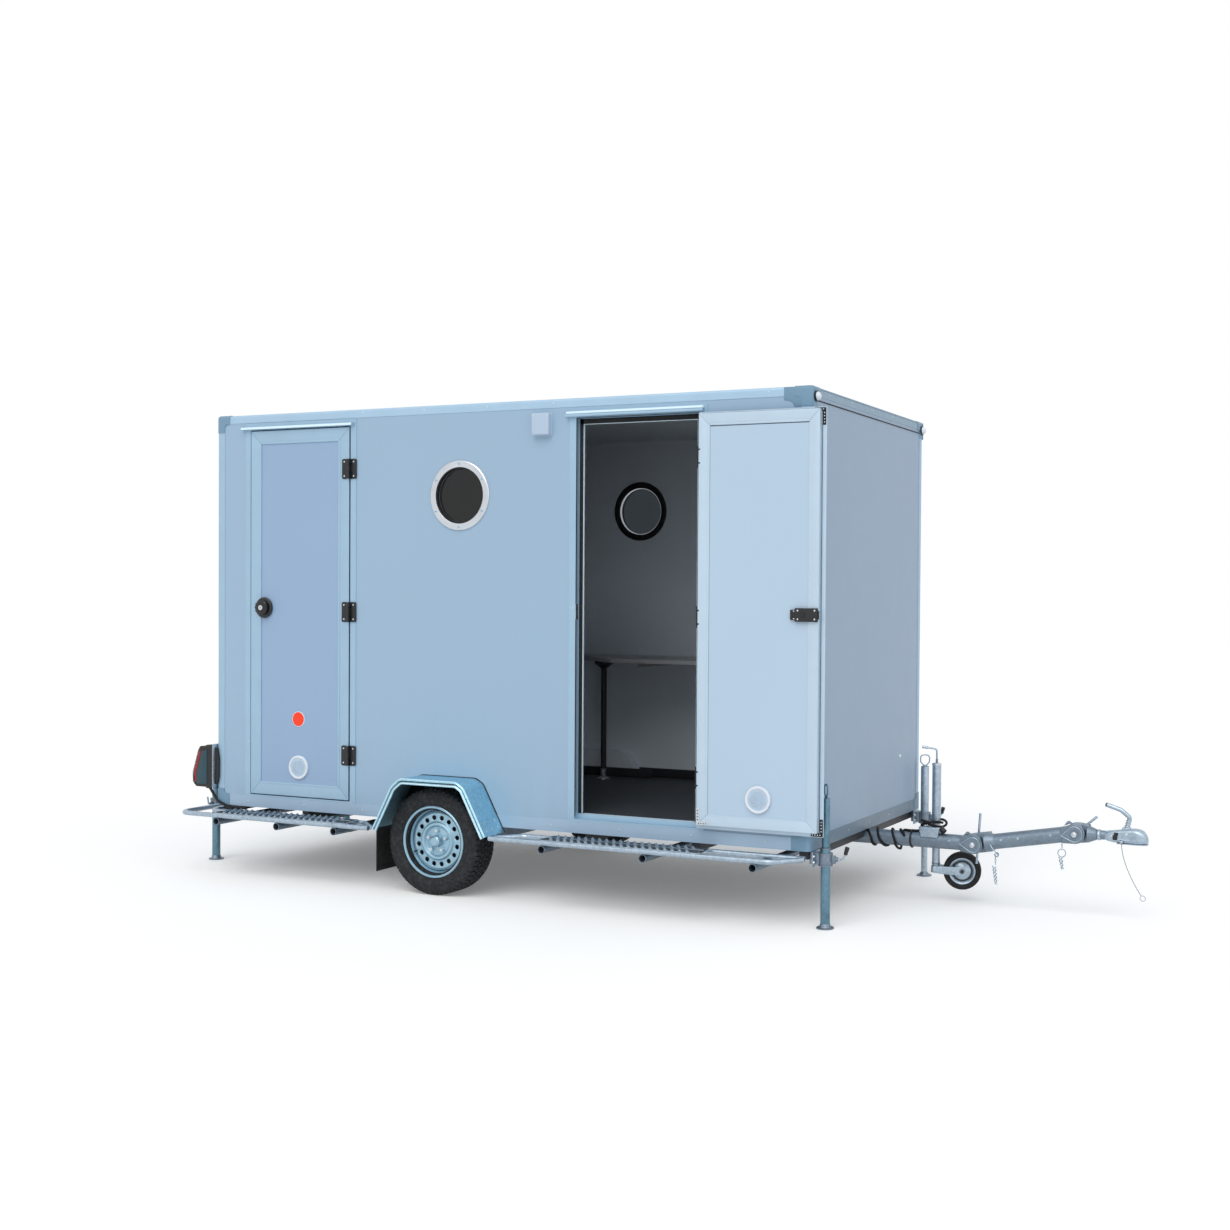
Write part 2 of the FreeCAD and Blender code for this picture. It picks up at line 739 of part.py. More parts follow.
# Chassis: two long members, cross members between and outside them, tubes that carry the rails
hc = member_width / 2
bar_space = rod((bar_rear_x, 0, bar_z), (half_l + beyond, 0, bar_z), bar_radius)
reach_x = (-chassis_half_length, chassis_half_length)
save("chassis_rails", [
    box(*reach_x, s * chassis_y - hc, s * chassis_y + hc, chassis_bottom, box_bottom) for s in (-1, 1)
])
cross_spans = [
    (-wall_inner, -chassis_y - hc),
    (-chassis_y + hc, chassis_y - hc),
    (chassis_y + hc, wall_inner),
]
save("cross_members", [
    box(x - hc, x + hc, y0, y1, chassis_bottom, box_bottom).cut(bar_space)
    for x in cross_member_x for y0, y1 in cross_spans
])
outriggers = []
outrigger_bore = outrigger_radius - outrigger_wall
for x in outrigger_x:
    tube_end = (x, -outrigger_outer_y, outrigger_z)
    tube_root = (x, -outrigger_inner_y, outrigger_z)
    hanger = box(x - hc, x + hc, -chassis_y - hc, -chassis_y + hc, outrigger_z, chassis_bottom)
    carrier = fuse([rod(tube_end, tube_root, outrigger_radius), hanger])
    outriggers += both(carrier.cut(rod(tube_end, tube_root, outrigger_bore)))
save("outriggers", outriggers)

# Axle with trailing arms and spindles
half_axle = axle_side / 2
arm_out = wheel_y - tyre_width / 2 - arm_clear
arm_in = arm_out - arm_thickness
beam = box(axle_x - half_axle, axle_x + half_axle, -arm_in, arm_in, axle_z - half_axle, axle_z + half_axle)
arm_web = [
    (axle_x, axle_z - arm_eye),
    (axle_x, axle_z + arm_eye),
    (wheel_x, wheel_z + arm_end_eye),
    (wheel_x, wheel_z - arm_end_eye),
]
arm = fuse([
    across(axle_x, axle_z, arm_eye, -arm_out, -arm_in),
    across(wheel_x, wheel_z, arm_end_eye, -arm_out, -arm_in),
    prism_y(arm_web, -arm_out, -arm_in),
    across(wheel_x, wheel_z, spindle_radius, -wheel_y - spindle_out, -arm_out),
])
save("axle", fuse([beam] + both(arm)))


# Wheels
def tyre(centre):
    half = [
        (tyre_bead_half, rim_seat),
        (tyre_bead_half, rim_flange),
        (tyre_width / 2, tyre_bulge_radius),
        (tyre_edge_half, tyre_edge_radius),
        (tyre_crown_half, tyre_radius),
    ]
    return revolve_y(half + [(-o, r) for o, r in reversed(half)], centre)


def rim(centre):
    """Rim with its drop centre, dished disc with a ring of vents, hub, cap and nuts."""
    x, y, z = centre
    b, s, f, w = tyre_bead_half, rim_seat, rim_flange, rim_wall
    d, drop = rim_drop_half, rim_seat - rim_drop
    outer = [(-b - w, f), (-b, f), (-b, s), (-d, drop), (d - 26.0, drop), (b, s), (b, f), (b + w, f)]
    inner = [(b + w, s - w), (d - 26.0, drop - w), (-d, drop - w), (-b - w, s - w)]
    barrel = revolve_y(outer + inner, centre)
    o, t = rim_disc_out, rim_disc_sheet
    r1, r2, r3, r4 = rim_ridge_radii
    outer_r, inner_r = rim_disc_radius, spindle_radius
    front = [(o, outer_r), (o, r1), (rim_ridge_out, r2), (rim_ridge_out, r3), (o, r4), (o, inner_r)]
    back = [(o - t, inner_r), (o - t, r4), (o + t / 2, r3), (o + t / 2, r2), (o - t, r1), (o - t, outer_r)]
    skirt = [(o - 2 * t, rim_disc_root), (o - t, rim_disc_root)]
    disc = revolve_y(front + back + skirt, centre)
    angles = [2 * math.pi * (k + 0.5) / rim_holes for k in range(rim_holes)]
    c = rim_hole_circle
    drills = [across(x + c * math.cos(a), z + c * math.sin(a), rim_hole_radius, y - 2 * o, y) for a in angles]
    disc = disc.cut(Part.makeCompound(drills))
    hub = across(x, z, hub_radius, y - hub_out, y + hub_in)
    cap = across(x, z, cap_radius, y - cap_out, y - hub_out)
    pieces = [barrel, disc, hub, cap]
    c = nut_circle
    for k in range(nut_count):
        a = math.pi / 2 + 2 * math.pi * k / nut_count
        nut_x, nut_z = x + c * math.cos(a), z + c * math.sin(a)
        pieces.append(across(nut_x, nut_z, nut_radius, y - nut_out, y - o + t / 2))
    bore_r = spindle_radius + running_gap
    return fuse(pieces).cut(across(x, z, bore_r, y - spindle_out - beyond, y + hub_in + beyond))


right_centre = (wheel_x, -wheel_y, wheel_z)
for name, side in (("right", -1), ("left", 1)):
    save("tyre_" + name, on_side(tyre(right_centre), side))
    save("rim_" + name, on_side(rim(right_centre), side))

# Fenders with a turned-down outer lip, and mudflaps
lip_inner_y = -fender_outer_y + fender_lip_width
sheet = arch_block(0.0, -fender_outer_y, -wall_outer, fender_low)
sheet = sheet.cut(arch_block(-fender_sheet, lip_inner_y, -wall_outer + beyond, fender_low - beyond))
lip_y0, lip_y1 = -fender_outer_y - beyond, lip_inner_y + beyond
sheet = sheet.cut(arch_block(-fender_lip, lip_y0, lip_y1, fender_low - beyond))
save("fenders", both(sheet))
flap = box(flap_x, flap_x + flap_thickness, -flap_outer_y, -flap_inner_y, flap_bottom, box_bottom)
save("mudflaps", both(flap))

# Side rails: a double loop round the back, a pair of tubes on each side ahead of the wheels
oy, iy = rail_outer_y, rail_inner_y
beside = 2 * rail_radius
rear_end = fender_outline[0][0] - rail_fender_gap - rail_radius
cross_x = rear_end - rail_slant
outer_loop = [
    (rear_end, -oy, rail_z),
    (rail_rear_outer_x, -oy, rail_z),
    (rail_rear_outer_x, oy, rail_z),
    (rear_end, oy, rail_z),
]
inner_loop = [
    (rear_end - rail_join, -oy + beside, rail_z),
    (cross_x, -iy, rail_z),
    (rail_rear_inner_x, -iy, rail_z),
    (rail_rear_inner_x, iy, rail_z),
    (cross_x, iy, rail_z),
    (rear_end - rail_join, oy - beside, rail_z),
]
rails = [
    bent_rod(outer_loop, [rail_bend] * 2, rail_radius),
    bent_rod(inner_loop, [rail_small_bend, rail_bend, rail_bend, rail_small_bend], rail_radius),
]
front_start = fender_outline[5][0] + rail_fender_gap + rail_radius
front_outer = bent_rod([
    (front_start, -oy, rail_z),
    (rail_bend_start_x, -oy, rail_z),
    (rail_front_x, -rail_front_y - beside, rail_z),
], [rail_bend], rail_radius)
front_inner = bent_rod([
    (front_start + rail_join, -oy + beside, rail_z),
    (front_start + rail_slant, -iy, rail_z),
    (rail_front_x, -rail_front_y, rail_z),
], [rail_small_bend], rail_radius)
save("side_rails", rails + both(front_outer) + both(front_inner))

tread_z = outrigger_z + outrigger_radius
tread_y = (-oy + rail_radius + tread_side_gap, -iy - rail_radius - tread_side_gap)
treads = []
for x0, x1 in tread_spans:
    treads += both(box(x0, x1, *tread_y, tread_z, tread_z + tread_thickness))
save("tread_plates", treads)

# Lamps
lamp_x = -half_l - rear_lamp_plate
housing = [(lamp_x - back, rear_lamp_bottom + up) for back, up in rear_lamp_outline]
lamp_body = prism_y(housing, -rear_lamp_y1, -rear_lamp_y0)
lens_line = housing[2:5]  # the slanted rear edge
lens_outline = lens_line + [(x - lens_thickness, z) for x, z in reversed(lens_line)]
lens = prism_y(lens_outline, -rear_lamp_y1 + lens_border, -rear_lamp_y0 - lens_border)
save("rear_lamps", both(lamp_body))
save("rear_lamp_lenses", both(lens.cut(lamp_body)))
plate_top = housing[-1][1] + lamp_plate_margin
lamp_plate = box(-half_l, lamp_x, -rear_lamp_y1, -rear_lamp_y0, box_bottom + casting_reach, plate_top)
marker_xs = (half_l, half_l + marker_base, half_l + marker_base + marker_dome)
p, q, r = [(x, -marker_y, marker_z) for x in marker_xs]
marker = fuse([rod(p, q, marker_radius), rod(q, r, marker_dome_radius)])
lamp_box = box(*wall_lamp_x, -wall_outer - wall_lamp_depth, -wall_outer, *wall_lamp_z)
save("small_lamps", both(marker) + [lamp_box])

# Legs and the brackets that clamp them
brackets = both(lamp_plate)
clamp_low = clamp_bottom + clamp_arm_set
for name, x, y, top, step_z, low_r, high_r, facing in legs:
    ring_z = top + ring_outer - ring_sink
    fx, fy = facing[0] * ring_wire, facing[1] * ring_wire
    save(name, fuse([
        upright(x, y, 0, foot_height, foot_radius),
        upright(x, y, foot_height, step_z, low_r),
        upright(x, y, step_z, top, high_r),
        pipe((x - fx, y - fy, ring_z), (x + fx, y + fy, ring_z), ring_outer, ring_outer - 2 * ring_wire),
    ]))
    arm_y = (y - clamp_arm_half, y + clamp_arm_half)
    if x > 0:
        arm_box = box(chassis_half_length, x, *arm_y, clamp_low, clamp_top)
        plate_y = (y - clamp_plate_half, y + clamp_plate_half)
        plate = box(half_l, half_l + clamp_plate_thickness, *plate_y, clamp_bottom, clamp_plate_height)
    else:
        arm_box = box(x, rail_rear_outer_x - rail_radius, *arm_y, clamp_low, clamp_top - clamp_arm_set)
        plate = arm_box
    bracket = fuse([upright(x, y, clamp_bottom, clamp_top, clamp_radius), arm_box, plate])
    brackets.append(bracket.cut(upright(x, y, 0, box_top, leg_thick + slide_gap)))


# Drawbar with its two toothed joints
def from_joint(joint, lean, along, over=0.0):
    """Point (x, z) at a distance along and over a tube that leans by lean."""
    c, s = math.cos(lean), math.sin(lean)
    return (joint[0] + along * c - over * s, joint[1] + along * s + over * c)


def tube_between(p, q, r):
    return rod((p[0], 0, p[1]), (q[0], 0, q[1]), r)


def near_end(joint, lean):
    """Cast end on the right side, on the section behind the joint, with its drop-shaped boss and bolt."""
    x, z = joint
    tongue = [
        from_joint(joint, lean, -tongue_length, tongue_half),
        from_joint(joint, lean, 0, near_radius),
        from_joint(joint, lean, 0, -near_radius),
        from_joint(joint, lean, -tongue_length, -tongue_half),
    ]
    touch = drop_radius * drop_radius / drop_reach
    width = math.sqrt(drop_radius * drop_radius - touch * touch)
    drop = [
        from_joint(joint, lean, -drop_reach),
        from_joint(joint, lean, -touch, width),
        from_joint(joint, lean, -touch, -width),
    ]
    drop_y = -cheek_out - drop_proud
    return [
        across(x, z, near_radius, -cheek_out, -cheek_gap),
        prism_y(tongue, -cheek_out, -cheek_gap),
        across(x, z, drop_radius, drop_y, -cheek_out),
        prism_y(drop, drop_y, -cheek_out),
        across(x, z, bolt_head_radius, drop_y - bolt_head, drop_y),
        across(x, z, bolt_radius, -cheek_gap, cheek_out + nut_gap + bar_nut_length),
    ]


def tommy_bar(joint, row):
    """Nut on the left side and the bar through it."""
    dx, dz, lean, up, down = row
    x, z = joint
    nut_y = cheek_out + nut_gap
    low = (x + dx - down * math.sin(lean), handle_y, z + dz - down * math.cos(lean))
    high = (x + dx + up * math.sin(lean), handle_y, z + dz + up * math.cos(lean))
    return [across(x, z, bar_nut_radius, nut_y, nut_y + bar_nut_length), rod(low, high, handle_radius)]


def far_end(joint, lean, root, cone):
    """Cast end on the left side, on the section ahead of the joint, running into its tube by a cone."""
    x, z = joint
    tongue = [
        from_joint(joint, lean, 0, far_radius),
        from_joint(joint, lean, root, cone),
        from_joint(joint, lean, root, -cone),
        from_joint(joint, lean, 0, -far_radius),
    ]
    return [across(x, z, far_radius, cheek_gap, cheek_out), prism_y(tongue, cheek_gap, cheek_out)]


def cone_on(joint, lean, r0, r1):
    p = from_joint(joint, lean, tube_set)
    d = V(math.cos(lean), 0, math.sin(lean))
    return Part.makeCone(r0, r1, cone_length, V(p[0], 0, p[1]), d)


def bolt_hole(joint):
    return across(joint[0], joint[1], bolt_radius + running_gap, -cheek_gap, far)


rise = math.atan2(joint_2[1] - joint_1[1], joint_2[0] - joint_1[0])
rear_tube = tube_between((bar_rear_x, bar_z), from_joint(joint_1, 0, -tube_set), bar_radius)
save("drawbar", fuse([rear_tube] + near_end(joint_1, 0) + tommy_bar(joint_1, handles[0])))

low_end = from_joint(joint_1, rise, tube_set)
high_end = from_joint(joint_2, rise, -tube_set)
middle = [tube_between(low_end, high_end, bar_radius), cone_on(joint_1, rise, cone_radius, bar_radius)]
middle += far_end(joint_1, rise, tube_set + cone_length / 2, cone_radius)
middle = fuse(middle).cut(bolt_hole(joint_1))
save("drawbar_middle", fuse([middle] + near_end(joint_2, rise) + tommy_bar(joint_2, handles[1])))

neck_x = coupling_head_x - neck_length
shaft = tube_between(from_joint(joint_2, 0, tube_set), (neck_x, joint_2[1]), coupling_radius)
shaft = [shaft, cone_on(joint_2, 0, head_cone_radius, coupling_radius)]
save("coupling_shaft", fuse(shaft + far_end(joint_2, 0, tube_set, head_cone_radius)).cut(bolt_hole(joint_2)))

# Coupling head over the ball, its hand lever, and the eye for the cable
neck_side = [
    (neck_x, head_bottom + neck_rise),
    (neck_x, head_top - neck_drop),
    (coupling_head_x - nose_radius, head_top),
    (coupling_head_x, head_top),
    (coupling_head_x, head_bottom),
    (coupling_head_x - nose_radius, head_bottom),
]
neck = prism_y(neck_side, -neck_half, neck_half)
nose = upright(coupling_head_x, 0, head_bottom, head_top - head_chamfer, nose_radius)
crown = Part.makeCone(nose_radius, nose_radius - head_chamfer, head_chamfer,
                      V(coupling_head_x, 0, head_top - head_chamfer), V(0, 0, 1))
socket = fuse([
    Part.makeSphere(ball_radius + ball_gap, V(coupling_head_x, 0, ball_z)),
    upright(coupling_head_x, 0, head_bottom - beyond, ball_z, ball_radius + ball_gap),
])
eye_xs = (eye_x - eye_half, eye_x + eye_half)
eye = box(*eye_xs, eye_y - eye_half, 1 - neck_half, cable_top, cable_top + eye_height)
save("coupling_head", fuse([neck, nose, crown, eye]).cut(socket))
lever_points = [(coupling_head_x + x, 0, joint_2[1] + z) for x, z in lever_line]
lever_foot = box(coupling_head_x + lever_foot_x[0], coupling_head_x + lever_foot_x[1],
                 -lever_foot_half, lever_foot_half, joint_2[1], head_top + lever_foot_top)
save("coupling_lever", fuse([bent_rod(lever_points, lever_bends, lever_radius), lever_foot]).cut(neck))

# Jockey wheel and its clamp
jx, jy = jockey_x, jockey_y
cap_top = jockey_top + jockey_cap_height
crank_top = jockey_top + crank_up
crank = bent_rod([
    (jx, jy, cap_top),
    (jx, jy, crank_top),
    (jx + crank_out[0], jy + crank_out[1], crank_top + crank_out[2]),
], [crank_bend], crank_radius)
bore_r = jockey_inner_radius + slide_gap
outer_tube = pipe((jx, jy, jockey_bottom), (jx, jy, jockey_top), jockey_radius, bore_r)
cap = upright(jx, jy, jockey_top, cap_top, jockey_radius + jockey_cap_margin)
save("jockey_outer", fuse([outer_tube, cap, crank]))
bar_body = rod((bar_rear_x, 0, bar_z), (joint_1[0], 0, bar_z), bar_radius + seat_gap)
clamp = fuse([
    upright(jx, jy, clamp_bottom, clamp_top, jockey_radius + jockey_collar),
    box(jx - jockey_block_half, jx + jockey_block_half, -jockey_block_out, jy,
        bar_z + bar_radius / 2, jockey_block_top),
])
brackets.append(clamp.cut(upright(jx, jy, 0, box_top, jockey_radius + running_gap)).cut(bar_body))
save("galvanised_brackets", brackets)
save("jockey_inner", upright(jx, jy, jockey_inner_bottom, jockey_inner_top, jockey_inner_radius))

hub_x = jx + jockey_trail
fork_in = jockey_wheel_width / 2 + fork_gap
fork_out = fork_in + fork_plate
crown_z = jockey_inner_bottom - turn_gap
arm_side = [
    (jx - fork_root, fork_low),
    (jx - fork_root, crown_z),
    (jx + fork_eye, crown_z),
    (hub_x, jockey_hub_z + fork_eye),
    (hub_x, jockey_hub_z - fork_eye),
    (jx + fork_eye, fork_low),
]
fork = [
    upright(jx, jy, fork_low, crown_z, crown_radius),
    box(jx - fork_root, jx + fork_eye, jy - fork_out, jy + fork_out, fork_low, crown_z),
    across(hub_x, jockey_hub_z, jockey_pin, jy - fork_out, jy + fork_out),
]
for s in (-1, 1):
    y_in, y_out = jy + s * fork_in, jy + s * fork_out
    fork.append(prism_y(arm_side, y_in, y_out))
    fork.append(across(hub_x, jockey_hub_z, fork_eye, y_in, y_out))
fork = fuse(fork)
half_wheel = jockey_wheel_width / 2
jockey_wheel = across(hub_x, jockey_hub_z, jockey_wheel_radius, jy - half_wheel, jy + half_wheel)
rims = [e for e in jockey_wheel.Edges if len(e.Vertexes) == 1]
jockey_wheel = jockey_wheel.makeChamfer(jockey_wheel_chamfer, rims)
jockey_wheel = jockey_wheel.cut(across(hub_x, jockey_hub_z, jockey_pin + running_gap, -far, far))
for name, shape in (("jockey_fork", fork), ("jockey_wheel", jockey_wheel)):
    shape.rotate(V(jx, jy, 0), V(0, 0, 1), jockey_turn)
    save(name, shape)

# Lead wound on the drawbar
lead = []
for x in lead_wraps:
    ends = (x - lead_radius, 0, bar_z), (x + lead_radius, 0, bar_z)
    lead.append(pipe(*ends, bar_radius + 2 * lead_radius, bar_radius + seat_gap))
run_z = bar_z + bar_radius + lead_radius + seat_gap
lead_start = lead_wraps[0]
lead_end = jx - jockey_block_half - seat_gap
save("lead", fuse(lead + [rod((lead_start, 0, run_z), (lead_end, 0, run_z), lead_radius)]))

# Safety cable hanging from the coupling's eye, with its ring
radii = []
line = [V(*p) for p in cable_points]
for before, here, after in zip(line, line[1:], line[2:]):
    a, b = before - here, after - here
    half_turn = (math.pi - a.getAngle(b)) / 2
    radii.append(0.45 * min(a.Length, b.Length) / math.tan(half_turn))
print("cable arc radii, mm:", [round(r) for r in radii])
save("safety_cable", bent_rod(cable_points, radii, cable_radius))
last_run = (line[-1] - line[-2]).normalize()
centre = line[-1] + last_run * (cable_ring_radius + cable_ring_wire + seat_gap)
ring_ends = (centre.x, centre.y - cable_ring_wire, centre.z), (centre.x, centre.y + cable_ring_wire, centre.z)
save("cable_ring", pipe(*ring_ends, cable_ring_radius + cable_ring_wire, cable_ring_radius - cable_ring_wire))

os.makedirs("parts", exist_ok=True)
for name, shapes in nodes.items():
    shape = shapes[0] if len(shapes) == 1 else Part.makeCompound(shapes)
    moved = shape.copy()
    moved.translate(V(-origin_x, 0, 0))
    moved.exportStep("parts/" + name + ".step")
print(len(nodes), "nodes; middle of the length at x =", origin_x)
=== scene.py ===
import math
import bpy
import bmesh
from mathutils import Matrix, Vector


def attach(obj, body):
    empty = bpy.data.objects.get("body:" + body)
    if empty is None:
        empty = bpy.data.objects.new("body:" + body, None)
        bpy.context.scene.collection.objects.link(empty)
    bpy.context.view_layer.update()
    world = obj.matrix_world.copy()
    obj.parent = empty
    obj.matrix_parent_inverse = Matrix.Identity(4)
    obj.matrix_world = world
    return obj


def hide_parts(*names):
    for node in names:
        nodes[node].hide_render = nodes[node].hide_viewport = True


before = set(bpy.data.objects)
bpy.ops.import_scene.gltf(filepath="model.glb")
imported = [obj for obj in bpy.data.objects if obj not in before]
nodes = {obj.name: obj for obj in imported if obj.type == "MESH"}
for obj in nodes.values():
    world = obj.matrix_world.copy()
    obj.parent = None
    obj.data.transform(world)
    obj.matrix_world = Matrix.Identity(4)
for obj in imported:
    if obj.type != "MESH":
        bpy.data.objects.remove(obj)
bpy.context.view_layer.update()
scene = bpy.context.scene
scene.view_settings.view_transform = "Standard"

# Sizes below are in mm, in the cabin's own frame: x forward from the middle of the cabin,
# y left, z up from the ground. at() gives the place in the row frame, in metres.
ORIGIN_X = 593.5


def at(x, y, z):
    return Vector(((x - ORIGIN_X) / 1000, y / 1000, z / 1000))


# Camera
right = Vector((0.9118, 0.4105, 0.0076)).normalized()
forward = Vector((-0.4103, 0.9117, -0.0180))
forward = (forward - right * forward.dot(right)).normalized()
up = right.cross(forward)
cam_data = bpy.data.cameras.new("camera")
cam = bpy.data.objects.new("camera", cam_data)
scene.collection.objects.link(cam)
facing = Matrix((right, up, -forward)).transposed().to_4x4()
cam.matrix_world = Matrix.Translation((4.0542, -7.8023, 1.6317)) @ facing
cam_data.sensor_width = 36.0
cam_data.lens = 44.92
cam_data.shift_x = -0.1066
cam_data.shift_y = 0.0065
cam_data.clip_end = 200.0
scene.camera = cam


# Materials
def srgb(r, g, b):
    out = []
    for c in (r, g, b):
        c /= 255.0
        out.append(c / 12.92 if c <= 0.04045 else ((c + 0.055) / 1.055) ** 2.4)
    return (*out, 1.0)


class Nodes:
    """Small helper that builds a procedural material round one Principled shader."""

    def __init__(self, name, rough=0.5, metal=0.0, spec=0.5, coat=0.0):
        self.mat = bpy.data.materials.new(name)
        self.mat.use_nodes = True
        self.tree = self.mat.node_tree
        self.bsdf = self.tree.nodes["Principled BSDF"]
        self.bsdf.inputs["Roughness"].default_value = rough
        self.bsdf.inputs["Metallic"].default_value = metal
        self.bsdf.inputs["Specular IOR Level"].default_value = spec
        self.bsdf.inputs["Coat Weight"].default_value = coat
        self.coords = self.new("ShaderNodeTexCoord").outputs["Object"]
        self.bumps = []

    def new(self, kind, **values):
        n = self.tree.nodes.new(kind)
        for key, value in values.items():
            if hasattr(n, key):
                setattr(n, key, value)
            else:
                n.inputs[key.replace("_", " ")].default_value = value
        return n

    def link(self, a, b):
        self.tree.links.new(a, b)

    def scaled(self, scale):
        m = self.new("ShaderNodeMapping")
        m.inputs["Scale"].default_value = scale
        self.link(self.coords, m.inputs["Vector"])
        return m.outputs["Vector"]

    def noise(self, scale, detail=2.0, stretch=None, rough=0.5):
        n = self.new("ShaderNodeTexNoise", Scale=scale, Detail=detail, Roughness=rough)
        self.link(self.scaled(stretch) if stretch else self.coords, n.inputs["Vector"])
        return n.outputs["Fac"]

    def cells(self, scale, feature="F1", stretch=None):
        n = self.new("ShaderNodeTexVoronoi", Scale=scale)
        n.feature = feature
        self.link(self.scaled(stretch) if stretch else self.coords, n.inputs["Vector"])
        return n

    def ramp(self, value, stops):
        r = self.new("ShaderNodeValToRGB")
        e = r.color_ramp.elements
        while len(e) < len(stops):
            e.new(0.5)
        for item, (pos, colour) in zip(e, stops):
            item.position = pos
            item.color = colour if isinstance(colour, tuple) else (colour, colour, colour, 1.0)
        self.link(value, r.inputs["Fac"])
        return r.outputs["Color"]

    def mix(self, a, b, fac, blend="MIX"):
        m = self.new("ShaderNodeMix")
        m.data_type = "RGBA"
        m.blend_type = blend
        for value, socket in ((fac, m.inputs[0]), (a, m.inputs[6]), (b, m.inputs[7])):
            if isinstance(value, (int, float, tuple)):
                socket.default_value = value
            else:
                self.link(value, socket)
        return m.outputs[2]

    def math(self, op, a, b=0.0, clamp=False):
        m = self.new("ShaderNodeMath")
        m.operation = op
        m.use_clamp = clamp
        for value, socket in ((a, m.inputs[0]), (b, m.inputs[1])):
            if isinstance(value, (int, float)):
                socket.default_value = value
            else:
                self.link(value, socket)
        return m.outputs[0]

    def axis(self, name):
        s = self.new("ShaderNodeSeparateXYZ")
        self.link(self.coords, s.inputs[0])
        return s.outputs[name]

    def colour(self, socket):
        self.link(socket, self.bsdf.inputs["Base Color"])

    def rough(self, value, low, high):
        m = self.new("ShaderNodeMapRange")
        m.inputs["To Min"].default_value = low
        m.inputs["To Max"].default_value = high
        self.link(value, m.inputs["Value"])
        self.link(m.outputs[0], self.bsdf.inputs["Roughness"])

    def bump(self, height, strength, distance):
        b = self.new("ShaderNodeBump", Strength=strength, Distance=distance)
        self.link(height, b.inputs["Height"])
        if self.bumps:
            self.link(self.bumps[-1], b.inputs["Normal"])
        self.bumps.append(b.outputs["Normal"])
        self.link(self.bumps[-1], self.bsdf.inputs["Normal"])


def shade(colour, k):
    return tuple(min(1.0, c * k) for c in colour[:3]) + (1.0,)


def paint(name, colour, rough=0.38, grime=0.25, peel=0.05, spec=0.5, inner=None):
    """Coated sheet: faint clouding, orange peel, dust that gathers low down; inner is the colour inside the cabin,
    darkened towards the ceiling as painted shade.
    """
    m = Nodes(name, rough=rough, spec=spec)
    cloud = m.noise(1.3, 4.0)
    base = m.mix(shade(colour, 0.965), shade(colour, 1.03), cloud)
    fine = m.noise(38.0, 3.0)
    base = m.mix(base, m.mix(shade(colour, 0.985), shade(colour, 1.012), fine), 0.35)
    z = m.axis("Z")
    low = m.math("MULTIPLY", m.math("SUBTRACT", 1.25, z), 0.9, True)
    streaks = m.ramp(m.noise(6.0, 5.0, stretch=(3.0, 3.0, 0.35)), [(0.45, 0.0), (0.8, 1.0)])
    dust = m.math("MULTIPLY", m.math("MULTIPLY", low, streaks), grime)
    base = m.mix(base, shade(colour, 0.80), dust)
    if inner is not None:
        within_x = m.math("LESS_THAN", m.math("ABSOLUTE", m.math("ADD", m.axis("X"), ORIGIN_X / 1000)), 1.852)
        within_y = m.math("LESS_THAN", m.math("ABSOLUTE", m.axis("Y")), 0.847)
        under = m.math("LESS_THAN", z, 2.625)
        inside = m.math("MULTIPLY", m.math("MULTIPLY", within_x, within_y), under)
        # painted shade: inside the cabin the lining turns darker towards the ceiling
        high = m.math("MULTIPLY", m.math("SUBTRACT", z, 1.7), 0.62, True)
        lining = m.mix(m.mix(shade(inner, 0.94), shade(inner, 1.08), cloud), shade(inner, 0.3), high)
        base = m.mix(base, lining, inside)
    m.colour(base)
    m.rough(m.noise(9.0, 3.0), rough - 0.05, rough + 0.07)
    m.bump(m.noise(260.0, 2.0), peel, 0.002)
    return m.mat


def metal(name, colour, rough=0.35, along=None, lines=0.12, spangle=0.0, streak=0.3, metal_part=0.9,
          dark=0.6, front=None):
    """Galvanised or anodised metal: crystals or drawn lines, dull patches, roughness that varies in patches."""
    m = Nodes(name, rough=rough, metal=metal_part)
    cloud = m.noise(7.0, 4.0)
    base = m.mix(shade(colour, 0.88), shade(colour, 1.08), cloud)
    if spangle:
        cell = m.cells(95.0)
        tone = m.new("ShaderNodeSeparateColor")
        m.link(cell.outputs["Color"], tone.inputs[0])
        base = m.mix(base, m.mix(shade(colour, 0.72), shade(colour, 1.25), tone.outputs[0]), spangle)
        m.bump(tone.outputs[1], 0.05, 0.0006)
    if along is not None:
        stretch = [900.0, 900.0, 900.0]
        stretch[along] = 3.0
        drawn = m.noise(1.0, 2.0, stretch=tuple(stretch))
        m.bump(drawn, lines, 0.0004)
        base = m.mix(base, m.mix(shade(colour, 0.9), shade(colour, 1.06), drawn), 0.35)
    stain = m.ramp(m.noise(18.0, 5.0), [(0.52, 0.0), (0.74, 1.0)])
    base = m.mix(base, shade(colour, dark), m.math("MULTIPLY", stain, streak))
    # painted shade: when front is given, the faces ahead of the cabin's front take a darker copy of the colour
    if front is not None:
        ahead = m.math("GREATER_THAN", m.math("ADD", m.axis("X"), ORIGIN_X / 1000), 1.8735)
        base = m.mix(base, shade(colour, front), ahead)
    m.colour(base)
    m.rough(m.noise(24.0, 4.0), rough - 0.08, rough + 0.14)
    m.bump(m.noise(140.0, 3.0), 0.06, 0.001)
    return m.mat


def plastic(name, colour, rough=0.42, grain=0.12, scale=650.0, fade=0.25):
    """Moulded plastic: fine grain, slight fading."""
    m = Nodes(name, rough=rough)
    base = m.mix(shade(colour, 0.85), shade(colour, 1.0 + fade), m.noise(12.0, 4.0))
    scuffs = m.math("MULTIPLY", m.ramp(m.noise(60.0, 4.0), [(0.6, 0.0), (0.8, 1.0)]), 0.25)
    m.colour(m.mix(base, shade(colour, 1.4), scuffs))
    m.rough(m.noise(40.0, 3.0), rough - 0.06, rough + 0.1)
    m.bump(m.noise(scale, 2.0), grain, 0.0006)
    return m.mat


